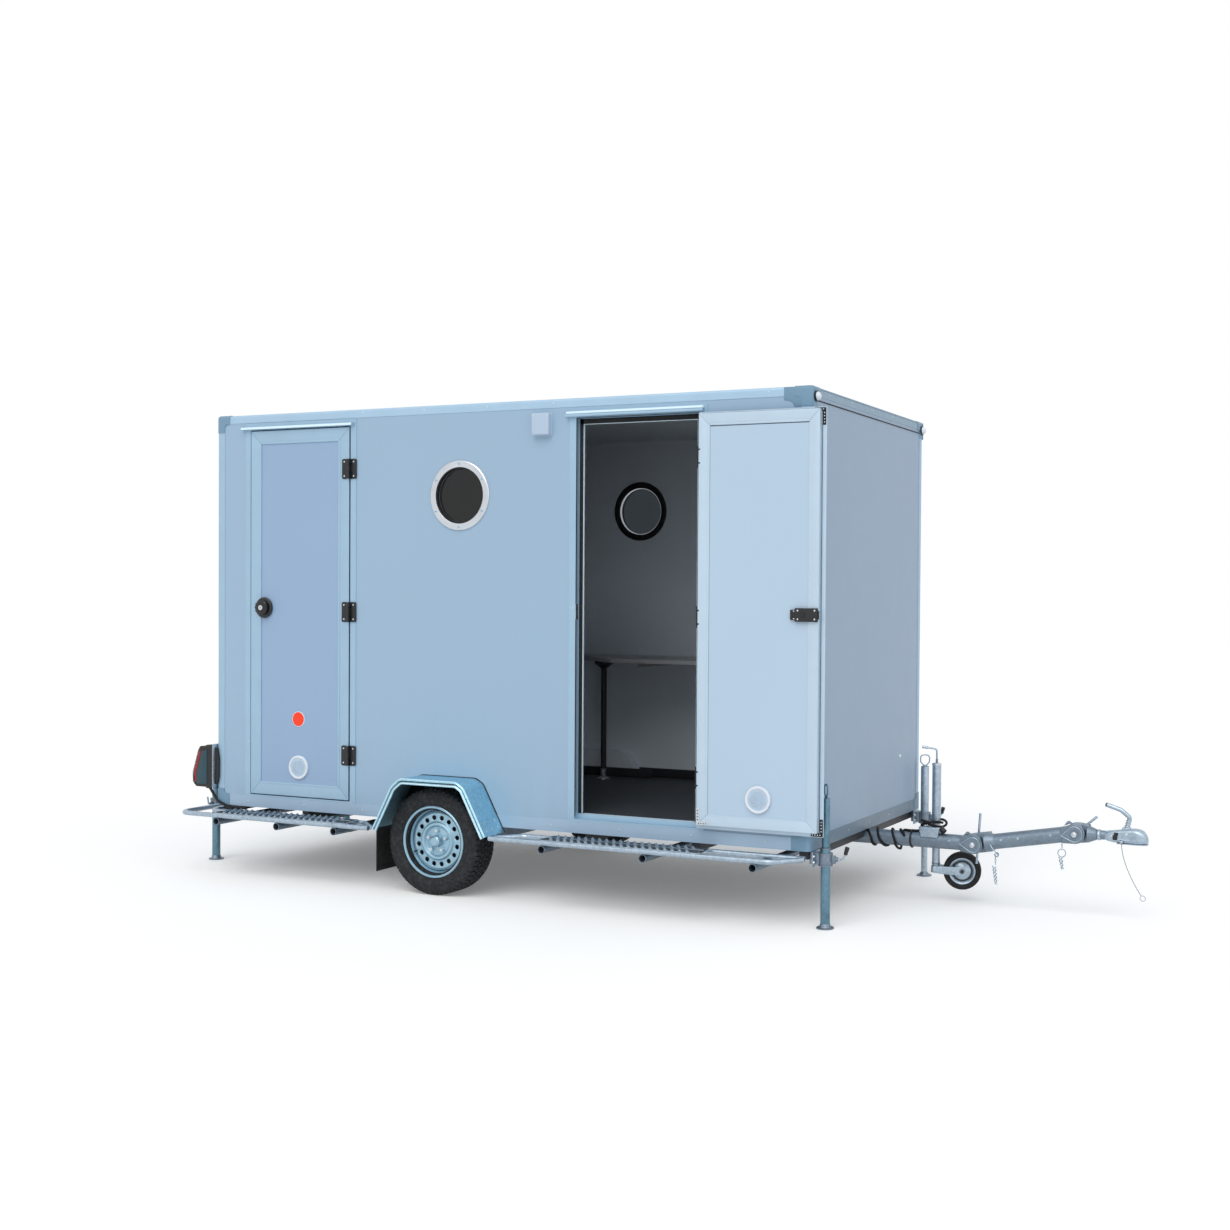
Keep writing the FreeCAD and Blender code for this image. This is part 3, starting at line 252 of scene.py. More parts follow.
def rubber(name, colour, dust=0.3, rough=0.7):
    m = Nodes(name, rough=rough, spec=0.35)
    base = m.mix(shade(colour, 0.8), shade(colour, 1.25), m.noise(20.0, 4.0))
    grey = m.ramp(m.noise(55.0, 5.0), [(0.48, 0.0), (0.75, 1.0)])
    m.colour(m.mix(base, srgb(92, 92, 92), m.math("MULTIPLY", grey, dust)))
    m.rough(m.noise(70.0, 3.0), rough - 0.1, rough + 0.12)
    m.bump(m.noise(420.0, 3.0), 0.12, 0.0008)
    return m.mat


def glass(name, tint, rough=0.03, ior=1.45, weight=1.0):
    m = Nodes(name, rough=rough)
    m.bsdf.inputs["Transmission Weight"].default_value = weight
    m.bsdf.inputs["IOR"].default_value = ior
    smear = m.ramp(m.noise(9.0, 5.0), [(0.45, 0.0), (0.8, 1.0)])
    m.colour(m.mix(shade(tint, 1.0), shade(tint, 0.93), smear))
    m.rough(smear, rough, rough + 0.05)
    return m.mat


def two_faced(name, outer, inner):
    """Sheet that is one colour on the side of the wheel and another towards the cabin."""
    m = Nodes(name, rough=0.5)
    normal = m.new("ShaderNodeSeparateXYZ")
    m.link(m.new("ShaderNodeNewGeometry").outputs["Normal"], normal.inputs[0])
    up = m.math("GREATER_THAN", normal.outputs["Z"], 0.1)
    inward = m.math("LESS_THAN", m.math("MULTIPLY", normal.outputs["Y"], m.axis("Y")), -0.2)
    grain = m.noise(1.3, 4.0)
    dark = m.mix(shade(outer, 0.85), shade(outer, 1.2), m.noise(30.0, 4.0))
    m.colour(m.mix(dark, m.mix(shade(inner, 0.9), shade(inner, 1.08), grain),
                   m.math("ADD", up, inward, True)))
    m.rough(m.noise(40.0, 3.0), 0.42, 0.6)
    m.bump(m.noise(260.0, 2.0), 0.06, 0.001)
    return m.mat


INSIDE = srgb(228, 236, 244)
M = {
    "wall": paint("wall_coat", srgb(153, 180, 203), inner=INSIDE),
    # painted shade: the end panels take a darker copy of the wall coat, for the faces turned from the light
    "end": paint("end_coat", srgb(140, 162, 185), inner=INSIDE),
    "door": paint("door_coat", srgb(146, 172, 202)),
    "door_inner": paint("door_inner_coat", srgb(180, 201, 220), grime=0.10),
    "roof": paint("roof_coat", srgb(178, 196, 216), inner=INSIDE),
    # front=0.62 paints shade on the front faces of the roof profile
    "profile_x": metal("profile_along_x", srgb(170, 200, 222), 0.42, along=0, streak=0.12, metal_part=0.35,
                       dark=0.8, front=0.62),
    "profile_z": metal("profile_upright", srgb(160, 190, 212), 0.42, along=2, streak=0.12, metal_part=0.35,
                       dark=0.8),
    "casting": paint("corner_coat", srgb(116, 150, 174), rough=0.45, grime=0.4, peel=0.12),
    "zinc": metal("zinc", srgb(168, 184, 198), 0.36, spangle=0.45, streak=0.35),
    "wheel_box": two_faced("wheel_box_sheet", srgb(20, 21, 23), INSIDE),
    "vent_grille": plastic("vent_grille", srgb(184, 204, 222), rough=0.5, grain=0.1, fade=0.05),
    "leaf_bar": metal("leaf_bar", srgb(190, 210, 226), 0.42, along=2, streak=0.1, metal_part=0.25, dark=0.85),
    # front=0.45 paints shade on the front face of the bottom profile
    "profile_low": metal("profile_low", srgb(166, 190, 212), 0.42, along=0, streak=0.12, metal_part=0.25,
                         dark=0.85, front=0.45),
    "reveal": plastic("porthole_reveal", srgb(230, 234, 240), rough=0.4, grain=0.02),
    "drip": paint("drip_rail", srgb(222, 244, 255), rough=0.3, grime=0.0),
    "lead_black": rubber("lead_sheath", srgb(12, 12, 13), dust=0.0),
    "leg_zinc": metal("leg_zinc", srgb(104, 138, 156), 0.4, spangle=0.3, streak=0.6),
    "zinc_dull": metal("zinc_dull", srgb(126, 140, 153), 0.46, spangle=0.3, streak=0.5),
    "zinc_blue": metal("zinc_fender", srgb(160, 208, 228), 0.34, spangle=0.4, streak=0.15),
    "dark_steel": paint("dark_steel", srgb(38, 40, 44), rough=0.5, grime=0.0, peel=0.1),
    "ply": plastic("floor_sheet", srgb(54, 59, 65), rough=0.55, grain=0.2, scale=160.0),
    "liner": paint("liner_coat", srgb(226, 234, 242), rough=0.5, grime=0.0),
    "black": plastic("black_plastic", srgb(20, 21, 23)),
    "black_gloss": plastic("black_gloss", srgb(14, 15, 17), rough=0.22, grain=0.04),
    "white_plastic": plastic("white_plastic", srgb(226, 232, 240), rough=0.35, grain=0.05, fade=0.06),
    "lamp_lens": glass("lens_clear", srgb(225, 230, 235)),
    "pane": glass("pane", srgb(52, 57, 62)),
    "lens": plastic("lens_red", srgb(150, 16, 14), rough=0.15, grain=0.02),
    "tyre": rubber("tyre_rubber", srgb(23, 26, 30)),
    "rubber": rubber("black_rubber", srgb(20, 20, 21), dust=0.15),
    "rim": metal("rim_silver", srgb(156, 190, 208), 0.34, streak=0.2, metal_part=0.7),
    "table": plastic("table_board", srgb(168, 170, 172), rough=0.4, grain=0.06, scale=300.0, fade=0.05),
    "bright": metal("bright_steel", srgb(205, 210, 216), 0.22, streak=0.15),
    "wire": metal("wire_rope", srgb(150, 156, 162), 0.4, streak=0.3),
    "teal": plastic("lamp_body_teal", srgb(24, 62, 74), rough=0.3, grain=0.04),
    "amber": plastic("lens_amber", srgb(176, 84, 14), rough=0.18, grain=0.02),
    "red": paint("red_disc", srgb(255, 58, 4), rough=0.35, grime=0.0),
}

# painted light: a faint glow of its own, standing in for daylight through the glass, keeps the porthole's reveal pale
# in the shade
reveal = M["reveal"].node_tree.nodes["Principled BSDF"]
reveal.inputs["Emission Color"].default_value = (0.9, 0.93, 1.0, 1.0)
reveal.inputs["Emission Strength"].default_value = 0.3

node_material = {
    "floor": "ply", "side_panel_right": "wall", "side_panel_left": "wall", "end_panels": "end",
    "roof_panel": "roof",
    "floor_profile": "profile_low", "roof_profile": "profile_x", "corner_posts": "profile_z",
    "corner_castings": "casting",
    "partition": "liner", "front_door_frame": "profile_z", "rear_door_frame": "profile_z",
    "hinge_plates": "black",
    "porthole_rings": "bright", "porthole_glass": "pane", "table_top": "table", "table_leg": "dark_steel",
    "chassis_rails": "dark_steel", "cross_members": "dark_steel", "outriggers": "zinc_dull",
    "axle": "zinc_dull",
    "wheel_boxes": "wheel_box", "fenders": "zinc_blue", "mudflaps": "rubber", "side_rails": "zinc",
    "tread_plates": "zinc",
    "rear_lamps": "black",
    "rear_lamp_lenses": "lens", "small_lamps": "white_plastic", "galvanised_brackets": "zinc_dull",
    "drawbar": "zinc_dull",
    "jockey_outer": "zinc", "lead": "rubber",
    "front_door_leaf": "profile_z", "front_door_panel": "door_inner", "front_door_hinges": "black",
    "front_door_lock": "black",
    "rear_door_leaf": "profile_z", "rear_door_panel": "door", "rear_door_hinges": "black",
    "rear_door_lock": "black",
    "tyre_right": "tyre", "rim_right": "rim", "tyre_left": "tyre", "rim_left": "rim",
    "leg_front_right": "zinc", "leg_front_left": "zinc", "leg_rear_right": "zinc", "leg_rear_left": "zinc",
    "drawbar_middle": "zinc_dull", "coupling_shaft": "zinc_dull", "coupling_head": "zinc",
    "coupling_lever": "zinc",
    "safety_cable": "wire", "cable_ring": "bright", "jockey_inner": "zinc", "jockey_fork": "zinc",
    "jockey_wheel": "rubber",
}
for name, key in node_material.items():
    mesh = nodes[name].data
    mesh.materials.clear()
    mesh.materials.append(M[key])


# The wire cable hanging from the coupling
CABLE_Y = -42.0
cable_points = [(3224, 404), (3227.5, 366), (3238, 322), (3255, 276), (3276.5, 230), (3301.5, 184),
                (3324, 150)]
curve = bpy.data.curves.new("safety_cable_wire", "CURVE")
curve.dimensions = "3D"
curve.bevel_depth = 0.002
curve.bevel_resolution = 3
spline = curve.splines.new("NURBS")
spline.points.add(len(cable_points) - 1)
for point, (x, z) in zip(spline.points, cable_points):
    point.co = (*at(x, CABLE_Y, z), 1.0)
spline.order_u = 3
spline.use_endpoint_u = True
spline.resolution_u = 12
wire = bpy.data.objects.new("safety_cable_wire", curve)
scene.collection.objects.link(wire)
curve.materials.append(M["wire"])
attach(wire, "coupling")
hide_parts("safety_cable")

# Mesh helpers. Each one returns a bmesh in the row frame; Piece joins them into one object.
def bm_box(x0, x1, y0, y1, z0, z1):
    bm = bmesh.new()
    bmesh.ops.create_cube(bm, size=1.0)
    lo, hi = at(min(x0, x1), min(y0, y1), min(z0, z1)), at(max(x0, x1), max(y0, y1), max(z0, z1))
    for v in bm.verts:
        v.co = Vector([lo[i] if v.co[i] < 0 else hi[i] for i in range(3)])
    return bm


def frame_of(axis):
    axis = axis.normalized()
    side = axis.cross(Vector((0, 0, 1)))
    if side.length < 1e-4:
        side = Vector((1, 0, 0))
    side.normalize()
    return side, axis.cross(side).normalized(), axis


def bm_lathe(profile, base, axis, n=48, closed=True, turn=0.0):
    """Profile of (along, radius) in mm, turned about the axis through base. closed joins last to first."""
    u, v, a = frame_of(Vector(axis))
    bm = bmesh.new()
    origin = at(*base)
    rings = []
    for along, radius in profile:
        centre = origin + a * along / 1000
        if radius < 1e-6:
            rings.append([bm.verts.new(centre)])
            continue
        turns = [turn + 2 * math.pi * k / n for k in range(n)]
        rings.append([bm.verts.new(centre + (u * math.cos(t) + v * math.sin(t)) * radius / 1000) for t in turns])
    for p, q in zip(rings, rings[1:] + ([rings[0]] if closed else [])):
        for k in range(n):
            j = (k + 1) % n
            corners = [p[k % len(p)], p[j % len(p)], q[j % len(q)], q[k % len(q)]]
            face = []
            for c in corners:
                if c not in face:
                    face.append(c)
            if len(face) > 2:
                bm.faces.new(face)
    bmesh.ops.recalc_face_normals(bm, faces=bm.faces)
    return bm


def bm_rod(p, q, r, r2=None, n=32):
    p, q = Vector(p), Vector(q)
    r2 = r if r2 is None else r2
    length = (q - p).length
    return bm_lathe([(0, 0), (0, r), (length, r2), (length, 0)], p, q - p, n, closed=False)


def bm_pipe(p, q, r, r_in, n=40):
    p, q = Vector(p), Vector(q)
    length = (q - p).length
    return bm_lathe([(0, r_in), (0, r), (length, r), (length, r_in)], p, q - p, n)


def bm_prism(points, plane, a, b):
    """Outline in the plane xz, yz or xy, carried from a to b along the third direction."""
    place = {
        "xz": lambda p, d: at(p[0], d, p[1]),
        "yz": lambda p, d: at(d, p[0], p[1]),
        "xy": lambda p, d: at(p[0], p[1], d),
    }[plane]
    bm = bmesh.new()
    low = [bm.verts.new(place(p, a)) for p in points]
    high = [bm.verts.new(place(p, b)) for p in points]
    bm.faces.new(low)
    bm.faces.new(high)
    for k in range(len(points)):
        j = (k + 1) % len(points)
        bm.faces.new((low[k], low[j], high[j], high[k]))
    bmesh.ops.recalc_face_normals(bm, faces=bm.faces)
    return bm


def rounded(points, radius, step=0.22):
    """Line of a bent bar: its inner corners become arcs of the radius, or of one radius each."""
    pts = [Vector(p) for p in points]
    radii = radius if isinstance(radius, (list, tuple)) else [radius] * (len(pts) - 2)
    out = [pts[0]]
    for i in range(1, len(pts) - 1):
        a = (pts[i - 1] - pts[i]).normalized()
        b = (pts[i + 1] - pts[i]).normalized()
        half = a.angle(b) / 2
        reach = radii[i - 1] / math.tan(half)
        centre = pts[i] + (a + b).normalized() * (radii[i - 1] / math.sin(half))
        start, end = pts[i] + a * reach - centre, pts[i] + b * reach - centre
        sweep_angle = math.pi - 2 * half
        count = max(2, int(sweep_angle / step) + 1)
        for k in range(count + 1):
            f = k / count
            w0, w1 = math.sin((1 - f) * sweep_angle), math.sin(f * sweep_angle)
            out.append(centre + (start * w0 + end * w1) / math.sin(sweep_angle))
    out.append(pts[-1])
    return out


def ring_of(corners, radius):
    """Closed line through the corners, each of them rounded by an arc."""
    pts = [Vector(c) for c in corners]
    line = []
    for k, corner in enumerate(pts):
        ahead = pts[(k + 1) % len(pts)]
        line += rounded([pts[k - 1].lerp(corner, 0.5), corner, corner.lerp(ahead, 0.5)], radius)[:-1]
    return line


def bm_sweep(points, section, closed=False, up=(0, 0, 1), scales=None):
    """Section of (side, over) in mm carried along a line, with even frames; ends are capped."""
    pts = [Vector(p) for p in points]
    n = len(pts)
    bm = bmesh.new()
    rings = []
    normal = None
    for i, p in enumerate(pts):
        before = pts[i - 1] if i or closed else None
        after = pts[(i + 1) % n] if i < n - 1 or closed else None
        t1 = (p - before).normalized() if before is not None else None
        t2 = (after - p).normalized() if after is not None else None
        tangent = (t1 or t2) + (t2 or t1)
        tangent.normalize()
        if normal is None:
            normal = Vector(up)
            if abs(normal.dot(tangent)) > 0.95:
                normal = Vector((1, 0, 0))
        normal = (normal - tangent * normal.dot(tangent)).normalized()
        side = tangent.cross(normal).normalized()
        bend = 1.0
        if t1 is not None and t2 is not None:
            bend = 1.0 / max(0.35, math.cos(t1.angle(t2, 0.0) / 2))
        k = scales[i] if scales else 1.0
        turn = ((t2 - t1) if t1 is not None and t2 is not None else Vector())
        turn = turn.normalized() if turn.length > 1e-6 else Vector()
        ring = []
        for s, o in section:
            d = side * s * k + normal * o * k
            d += turn * d.dot(turn) * (bend - 1.0)
            ring.append(bm.verts.new(at(*(p + d))))
        rings.append(ring)
    m = len(section)
    for p, q in zip(rings, rings[1:] + ([rings[0]] if closed else [])):
        for k in range(m):
            j = (k + 1) % m
            bm.faces.new((p[k], p[j], q[j], q[k]))
    if not closed:
        bm.faces.new(list(reversed(rings[0])))
        bm.faces.new(rings[-1])
    bmesh.ops.recalc_face_normals(bm, faces=bm.faces)
    return bm


def circle(r, n=14, squash=1.0):
    return [(r * math.cos(2 * math.pi * k / n), r * squash * math.sin(2 * math.pi * k / n)) for k in range(n)]


def disc(x, z, r, n):
    """Points on a circle about (x, z)."""
    return [(x + a, z + b) for a, b in circle(r, n)]


def bm_tube(points, r, n=14, closed=False, scales=None):
    return bm_sweep(points, circle(r, n), closed, scales=scales)


def bm_dome(centre, axis, r, height, n=24, rings=5):
    """Rounded cap of a screw, rivet or lamp."""
    profile = [(0, 0), (0, r)] + [(height * math.sin(a), r * math.cos(a)) for a in
                                  [math.pi / 2 * k / rings for k in range(1, rings)]] + [(height, 0)]
    return bm_lathe(profile, centre, axis, n, closed=False)


def bm_loft(sections):
    """Closed rings of points (mm), joined in order and capped."""
    bm = bmesh.new()
    rings = [[bm.verts.new(at(*p)) for p in ring] for ring in sections]
    m = len(rings[0])
    for p, q in zip(rings, rings[1:]):
        for k in range(m):
            j = (k + 1) % m
            bm.faces.new((p[k], p[j], q[j], q[k]))
    bm.faces.new(list(reversed(rings[0])))
    bm.faces.new(rings[-1])
    bmesh.ops.recalc_face_normals(bm, faces=bm.faces)
    return bm


def rounded_rect(w, h, r, n=5):
    """Outline of a rounded rectangle, centred."""
    out = []
    ix, iy = w / 2 - r, h / 2 - r
    for cx, cy, a0 in ((ix, iy, 0), (-ix, iy, 90), (-ix, -iy, 180), (ix, -iy, 270)):
        for k in range(n + 1):
            a = math.radians(a0 + 90 * k / n)
            out.append((cx + r * math.cos(a), cy + r * math.sin(a)))
    return out


class Piece:
    def __init__(self, name, *materials):
        self.name = name
        self.materials = materials
        self.bm = bmesh.new()

    def add(self, bm, mat=0, bevel=0.0, seg=2, angle=38):
        if bevel:
            edges = [e for e in bm.edges if len(e.link_faces) == 2 and e.calc_face_angle(0.0) > math.radians(angle)]
            bmesh.ops.bevel(bm, geom=edges, offset=bevel / 1000, segments=seg, profile=0.6, affect="EDGES",
                            clamp_overlap=True)
        for f in bm.faces:
            f.material_index = mat
        mesh = bpy.data.meshes.new("tmp")
        bm.to_mesh(mesh)
        bm.free()
        self.bm.from_mesh(mesh)
        bpy.data.meshes.remove(mesh)
        return self

    def mirrored(self, since=0):
        """Adds the mirror image, across the middle plane, of the faces from number since on."""
        self.bm.faces.ensure_lookup_table()
        faces = self.bm.faces[since:]
        parts = list({v for f in faces for v in f.verts} | {e for f in faces for e in f.edges} | set(faces))
        made = bmesh.ops.duplicate(self.bm, geom=parts)
        for v in made["geom"]:
            if isinstance(v, bmesh.types.BMVert):
                v.co.y = -v.co.y
        bmesh.ops.reverse_faces(self.bm, faces=[f for f in made["geom"] if isinstance(f, bmesh.types.BMFace)])
        return self

    def done(self, body, slot, *replaces, smooth=38):
        mesh = bpy.data.meshes.new(self.name)
        self.bm.to_mesh(mesh)
        self.bm.free()
        for m in self.materials:
            mesh.materials.append(M[m])
        mesh.polygons.foreach_set("use_smooth", [True] * len(mesh.polygons))
        mesh.set_sharp_from_angle(angle=math.radians(smooth))
        obj = bpy.data.objects.new(self.name, mesh)
        scene.collection.objects.link(obj)
        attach(obj, body)
        if replaces:
            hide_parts(*replaces)
        return obj


def hexagon(x, z, r, turn=0.0):
    return [(x + r * math.cos(turn + math.pi / 3 * k),
             z + r * math.sin(turn + math.pi / 3 * k)) for k in range(6)]


def screw(piece, p, axis, r=4.5, mat=1):
    """Low domed head of a screw."""
    piece.add(bm_dome(p, axis, r, r * 0.45, 14, 3), mat)


# Wheels
WHEEL = (-272.0, 885.0, 289.0)


def tyre(side):
    x, y, z = WHEEL
    y *= side
    out = (0, side, 0)
    p = Piece("tyre_%s_treaded" % ("left" if side > 0 else "right"), "tyre")
    half = [(70, 178), (76, 180), (77, 196), (83, 199), (85, 206), (88, 208), (91, 216), (92.3, 232),
            (92, 236), (91, 238),
            (92, 240), (91.6, 252), (89, 264), (85, 273), (79, 280)]
    tread = [(70, 281.5), (35, 281.8), (0, 282), (-35, 281.8), (-70, 281.5)]
    profile = half + tread + [(-a, r) for a, r in reversed(half)] + [(-70, 172), (70, 172)]
    p.add(bm_lathe(profile, (x, y, z), out, 96))
    ribs = [(-72, -45, 0.0), (-40, -17, 0.5), (-12, 12, 0.0), (17, 40, 0.5), (45, 72, 0.0)]
    count = 60
    bm = bmesh.new()
    centre = at(x, y, z)
    for low, high, shift in ribs:
        for k in range(count):
            skew = 0.22 if low > 0 else -0.22
            base, top = [], []
            for a, o, inset in ((0.07, low, 1), (0.93, low, 1), (0.93, high, -1), (0.07, high, -1)):
                f = a + shift + (skew if o == high else 0.0) * (0.6 if abs(low + high) > 10 else 1.0)
                for store, r, pull in ((base, 281.0, 0.0), (top, 288.9, 0.05)):
                    g = f + (pull if a < 0.5 else -pull)
                    ang = 2 * math.pi * (k + g) / count
                    oo = o + inset * (0.9 if store is top else 0.0)
                    rr = r - (0.9 if store is top and abs(oo) > 60 else 0.0)
                    spoke = Vector((math.cos(ang) * rr, side * oo, math.sin(ang) * rr))
                    store.append(bm.verts.new(centre + spoke / 1000))
            bm.faces.new(top)
            for i in range(4):
                j = (i + 1) % 4
                bm.faces.new((base[i], base[j], top[j], top[i]))
    for s in (-1, 1):
        for k in range(count):
            ring = []
            for o, r in ((70, 288), (80, 284), (88, 272), (86, 270), (78, 277), (70, 281)):
                row = []
                for a in (0.12, 0.80):
                    ang = 2 * math.pi * (k + a + 0.1) / count
                    spoke = Vector((math.cos(ang) * r, side * s * o, math.sin(ang) * r))
                    row.append(bm.verts.new(centre + spoke / 1000))
                ring.append(row)
            for i in range(5):
                bm.faces.new((ring[i][0], ring[i][1], ring[i + 1][1], ring[i + 1][0]))
            for c in (0, 1):
                bm.faces.new([row[c] for row in ring])
    bmesh.ops.recalc_face_normals(bm, faces=bm.faces)
    p.add(bm)
    name = "left" if side > 0 else "right"
    p.done("wheel_" + name, "tyre_rubber", "tyre_" + name, smooth=30)


def rim(side):
    x, y, z = WHEEL
    y *= side
    out = (0, side, 0)
    name = "left" if side > 0 else "right"
    p = Piece("rim_%s_pressed" % name, "rim", "black", "bright")
    n = 128
    # barrel with its flanges, hump and drop centre
    p.add(bm_lathe([(80, 195), (83, 191), (82, 184), (78, 181), (70, 179), (52, 178), (40, 168), (10, 160),
                    (-30, 160), (-48, 170),
                    (-60, 178), (-74, 180), (-80, 195), (-76, 196), (-72, 182), (-58, 181), (-30, 164),
                    (10, 164), (40, 172),
                    (52, 181.5), (70, 182.5), (74, 184), (76, 195)], (x, y, z), out, n))
    # black backing ring behind the disc, up to the barrel: painted shade that shows through the vents
    p.add(bm_lathe([(4, 60), (4, 156), (0, 156), (0, 60)], (x, y, z), out, 64), 1)
    # disc: dished ring with round vents, raised ring, recessed centre
    thick = 4.0
    front = [(30, 160), (34, 155), (37, 149), (37, 147)]
    inner = [(37, 107), (39, 104), (44, 101), (47, 97), (48, 92), (47, 86), (43, 82), (36, 78), (33, 74),
             (33, 66), (35, 62), (36, 44),
             (36, 31)]
    for profile in (front, inner):
        back = [(a - thick, r) for a, r in reversed(profile)]
        p.add(bm_lathe(profile + back, (x, y, z), out, n))
    centre = at(x, y, z)
    bm = bmesh.new()
    vents = 16
    for k in range(vents):
        mid = 2 * math.pi * (k + 0.5) / vents
        half_angle = math.pi / vents
        outline = []
        steps = 8
        for i in range(steps):
            outline.append((147, mid - half_angle + 2 * half_angle * i / steps))
        for i in range(4):
            outline.append((147 - 40 * i / 4, mid + half_angle))
        for i in range(steps):
            outline.append((107, mid + half_angle - 2 * half_angle * i / steps))
        for i in range(4):
            outline.append((107 + 40 * i / 4, mid - half_angle))
        hx, hz = 127 * math.cos(mid), 127 * math.sin(mid)
        rings = []
        for a in (37.0, 37.0, 35.5, 30.0):
            rings.append([])
        for r, ang in outline:
            px, pz = r * math.cos(ang), r * math.sin(ang)
            d = Vector((px - hx, pz - hz)).normalized()
            rings[0].append((px, 37.0, pz))
            rings[1].append((hx + d.x * 16.5, 37.0, hz + d.y * 16.5))
            rings[2].append((hx + d.x * 13.2, 35.0, hz + d.y * 13.2))
            rings[3].append((hx + d.x * 12.6, 29.5, hz + d.y * 12.6))
        made = [[bm.verts.new(centre + Vector((px, side * o, pz)) / 1000) for px, o,
                 pz in ring] for ring in rings]
        count = len(outline)
        for a, b in zip(made, made[1:]):
            for i in range(count):
                j = (i + 1) % count
                bm.faces.new((a[i], a[j], b[j], b[i]))
    bmesh.ops.remove_doubles(bm, verts=bm.verts, dist=1e-5)
    bmesh.ops.recalc_face_normals(bm, faces=bm.faces)
    sample = max(bm.faces, key=lambda f: f.calc_area())
    if sample.normal.y * side < 0:
        bmesh.ops.reverse_faces(bm, faces=bm.faces)
    p.add(bm)
    p.add(bm_lathe([(-45, 20), (-45, 52), (34, 52), (34, 20)], (x, y, z), out, 48), 1)
    for k in range(5):
        a = math.pi / 2 + 2 * math.pi * k / 5
        bx, bz = x + 56 * math.cos(a), z + 56 * math.sin(a)
        p.add(bm_rod((bx, y + side * 34, bz), (bx, y + side * 39, bz), 14, 12, 24), 0)
        p.add(bm_prism(hexagon(bx, bz, 10.0, a), "xz", y + side * 38, y + side * 52), 2, 1.2)
    p.add(bm_lathe([(34, 0), (34, 33), (37, 34), (48, 33), (60, 30), (66, 28), (72, 22), (74.5, 10),
                    (74.5, 0)], (x, y, z), out, 48, closed=False), 0)
    p.add(bm_lathe([(64, 28.8), (67, 29.4), (69, 27.4), (66, 26)], (x, y, z), out, 48), 2)
    # valve
    va = math.radians(205)
    vx, vz = x + 152 * math.cos(va), z + 152 * math.sin(va)
    p.add(bm_rod((vx, y + side * 28, vz), (vx - 4 * math.cos(va), y + side * 62, vz - 4 * math.sin(va)),
                 4.5, 3.6, 16), 1)
    p.done("wheel_" + name, "rim_silver", "rim_" + name, smooth=32)


for s in (-1, 1):
    tyre(s)
    rim(s)


# Fenders: folded sheet with a rolled double lip that runs down both slopes
def bm_folded(line, section, capped=True):
    """Section of (y, over) in mm carried along a line in the xz plane; over points away from the wheel."""
    bm = bmesh.new()
    rings = []
    for i, pt in enumerate(line):
        t1 = (pt - line[i - 1]).normalized() if i else None
        t2 = (line[i + 1] - pt).normalized() if i < len(line) - 1 else None
        t = ((t1 or t2) + (t2 or t1)).normalized()
        over = Vector((-t.z, 0, t.x))
        rings.append([bm.verts.new(at(pt.x + over.x * o, y, pt.z + over.z * o)) for y, o in section])
    m = len(section)
    for a, b in zip(rings, rings[1:]):
        for k in range(m):
            j = (k + 1) % m
            bm.faces.new((a[k], a[j], b[j], b[k]))
    if capped:
        bm.faces.new(list(reversed(rings[0])))
        bm.faces.new(rings[-1])
    bmesh.ops.recalc_face_normals(bm, faces=bm.faces)
    return bm


def fenders():
    line = rounded([(-604, 0, 353), (-482, 0, 586), (-425, 0, 634), (-62, 0, 634), (-14, 0, 606),
                    (122, 0, 356)],
                   [70, 62, 55, 62], 0.12)
    p = Piece("fenders_rolled", "zinc_blue", "bright", "black", "drip")
    outer, wall_y = -1060.0, -868.0
    # section across the sheet in (y, over), with the rolled lip at the outer edge
    sheet = [(wall_y, 0), (outer + 8, 0), (outer + 3, -1.5), (outer, -5), (outer - 1, -9), (outer + 1, -12.5),
             (outer + 3, -15), (outer + 1.5, -18), (outer - 1.5, -21), (outer - 2, -26), (outer + 1, -30.5),
             (outer + 6, -31), (outer + 8, -27), (outer + 7, -22), (outer + 6, -12), (outer + 8, -3),
             (wall_y, -3)]
    flange = [(-869, 0), (-873, 0), (-874, 1.6), (-872, 3.2), (-869, 3.6)]
    p.add(bm_folded(line, sheet))
    p.add(bm_folded(line, flange, capped=False), 2)
    # the two pale beads along the rolled lip are painted highlights, and the thin black bead between them is painted
    # shade in the fold
    for y, o, r, mat in ((outer + 3.0, -0.6, 2.0, 3), (outer - 1.6, -24.0, 2.8, 3),
                         (outer + 0.2, -13.0, 1.5, 2)):
        bead = []
        for i, pt in enumerate(line):
            t = (line[min(i + 1, len(line) - 1)] - line[max(i - 1, 0)]).normalized()
            bead.append((pt.x - t.z * o, y, pt.z + t.x * o))
        p.add(bm_tube(bead, r, 8), mat)
    slope = (Vector((122, 0, 356)) - Vector((-14, 0, 606))).normalized()
    normal = Vector((-slope.z, 0, slope.x))
    for along, y in ((205, -912), (214, -1010), (246, -905), (252, -962), (258, -1018)):
        c = Vector((-14, 0, 606)) + slope * along
        p.add(bm_dome((c.x, y, c.z), normal, 5.0, 2.4, 14, 3), 1)
    p.mirrored()
    p.done("trailer", "galvanised", "fenders", smooth=34)


fenders()

# Tread plates: punched grip plates with slanted raised slots and toothed ends
RAIL_Z = 351.0
OUT_Y, IN_Y = 1056.0, 913.0
TREADS = [(-1710.0, -810.0), (460.0, 1360.0)]


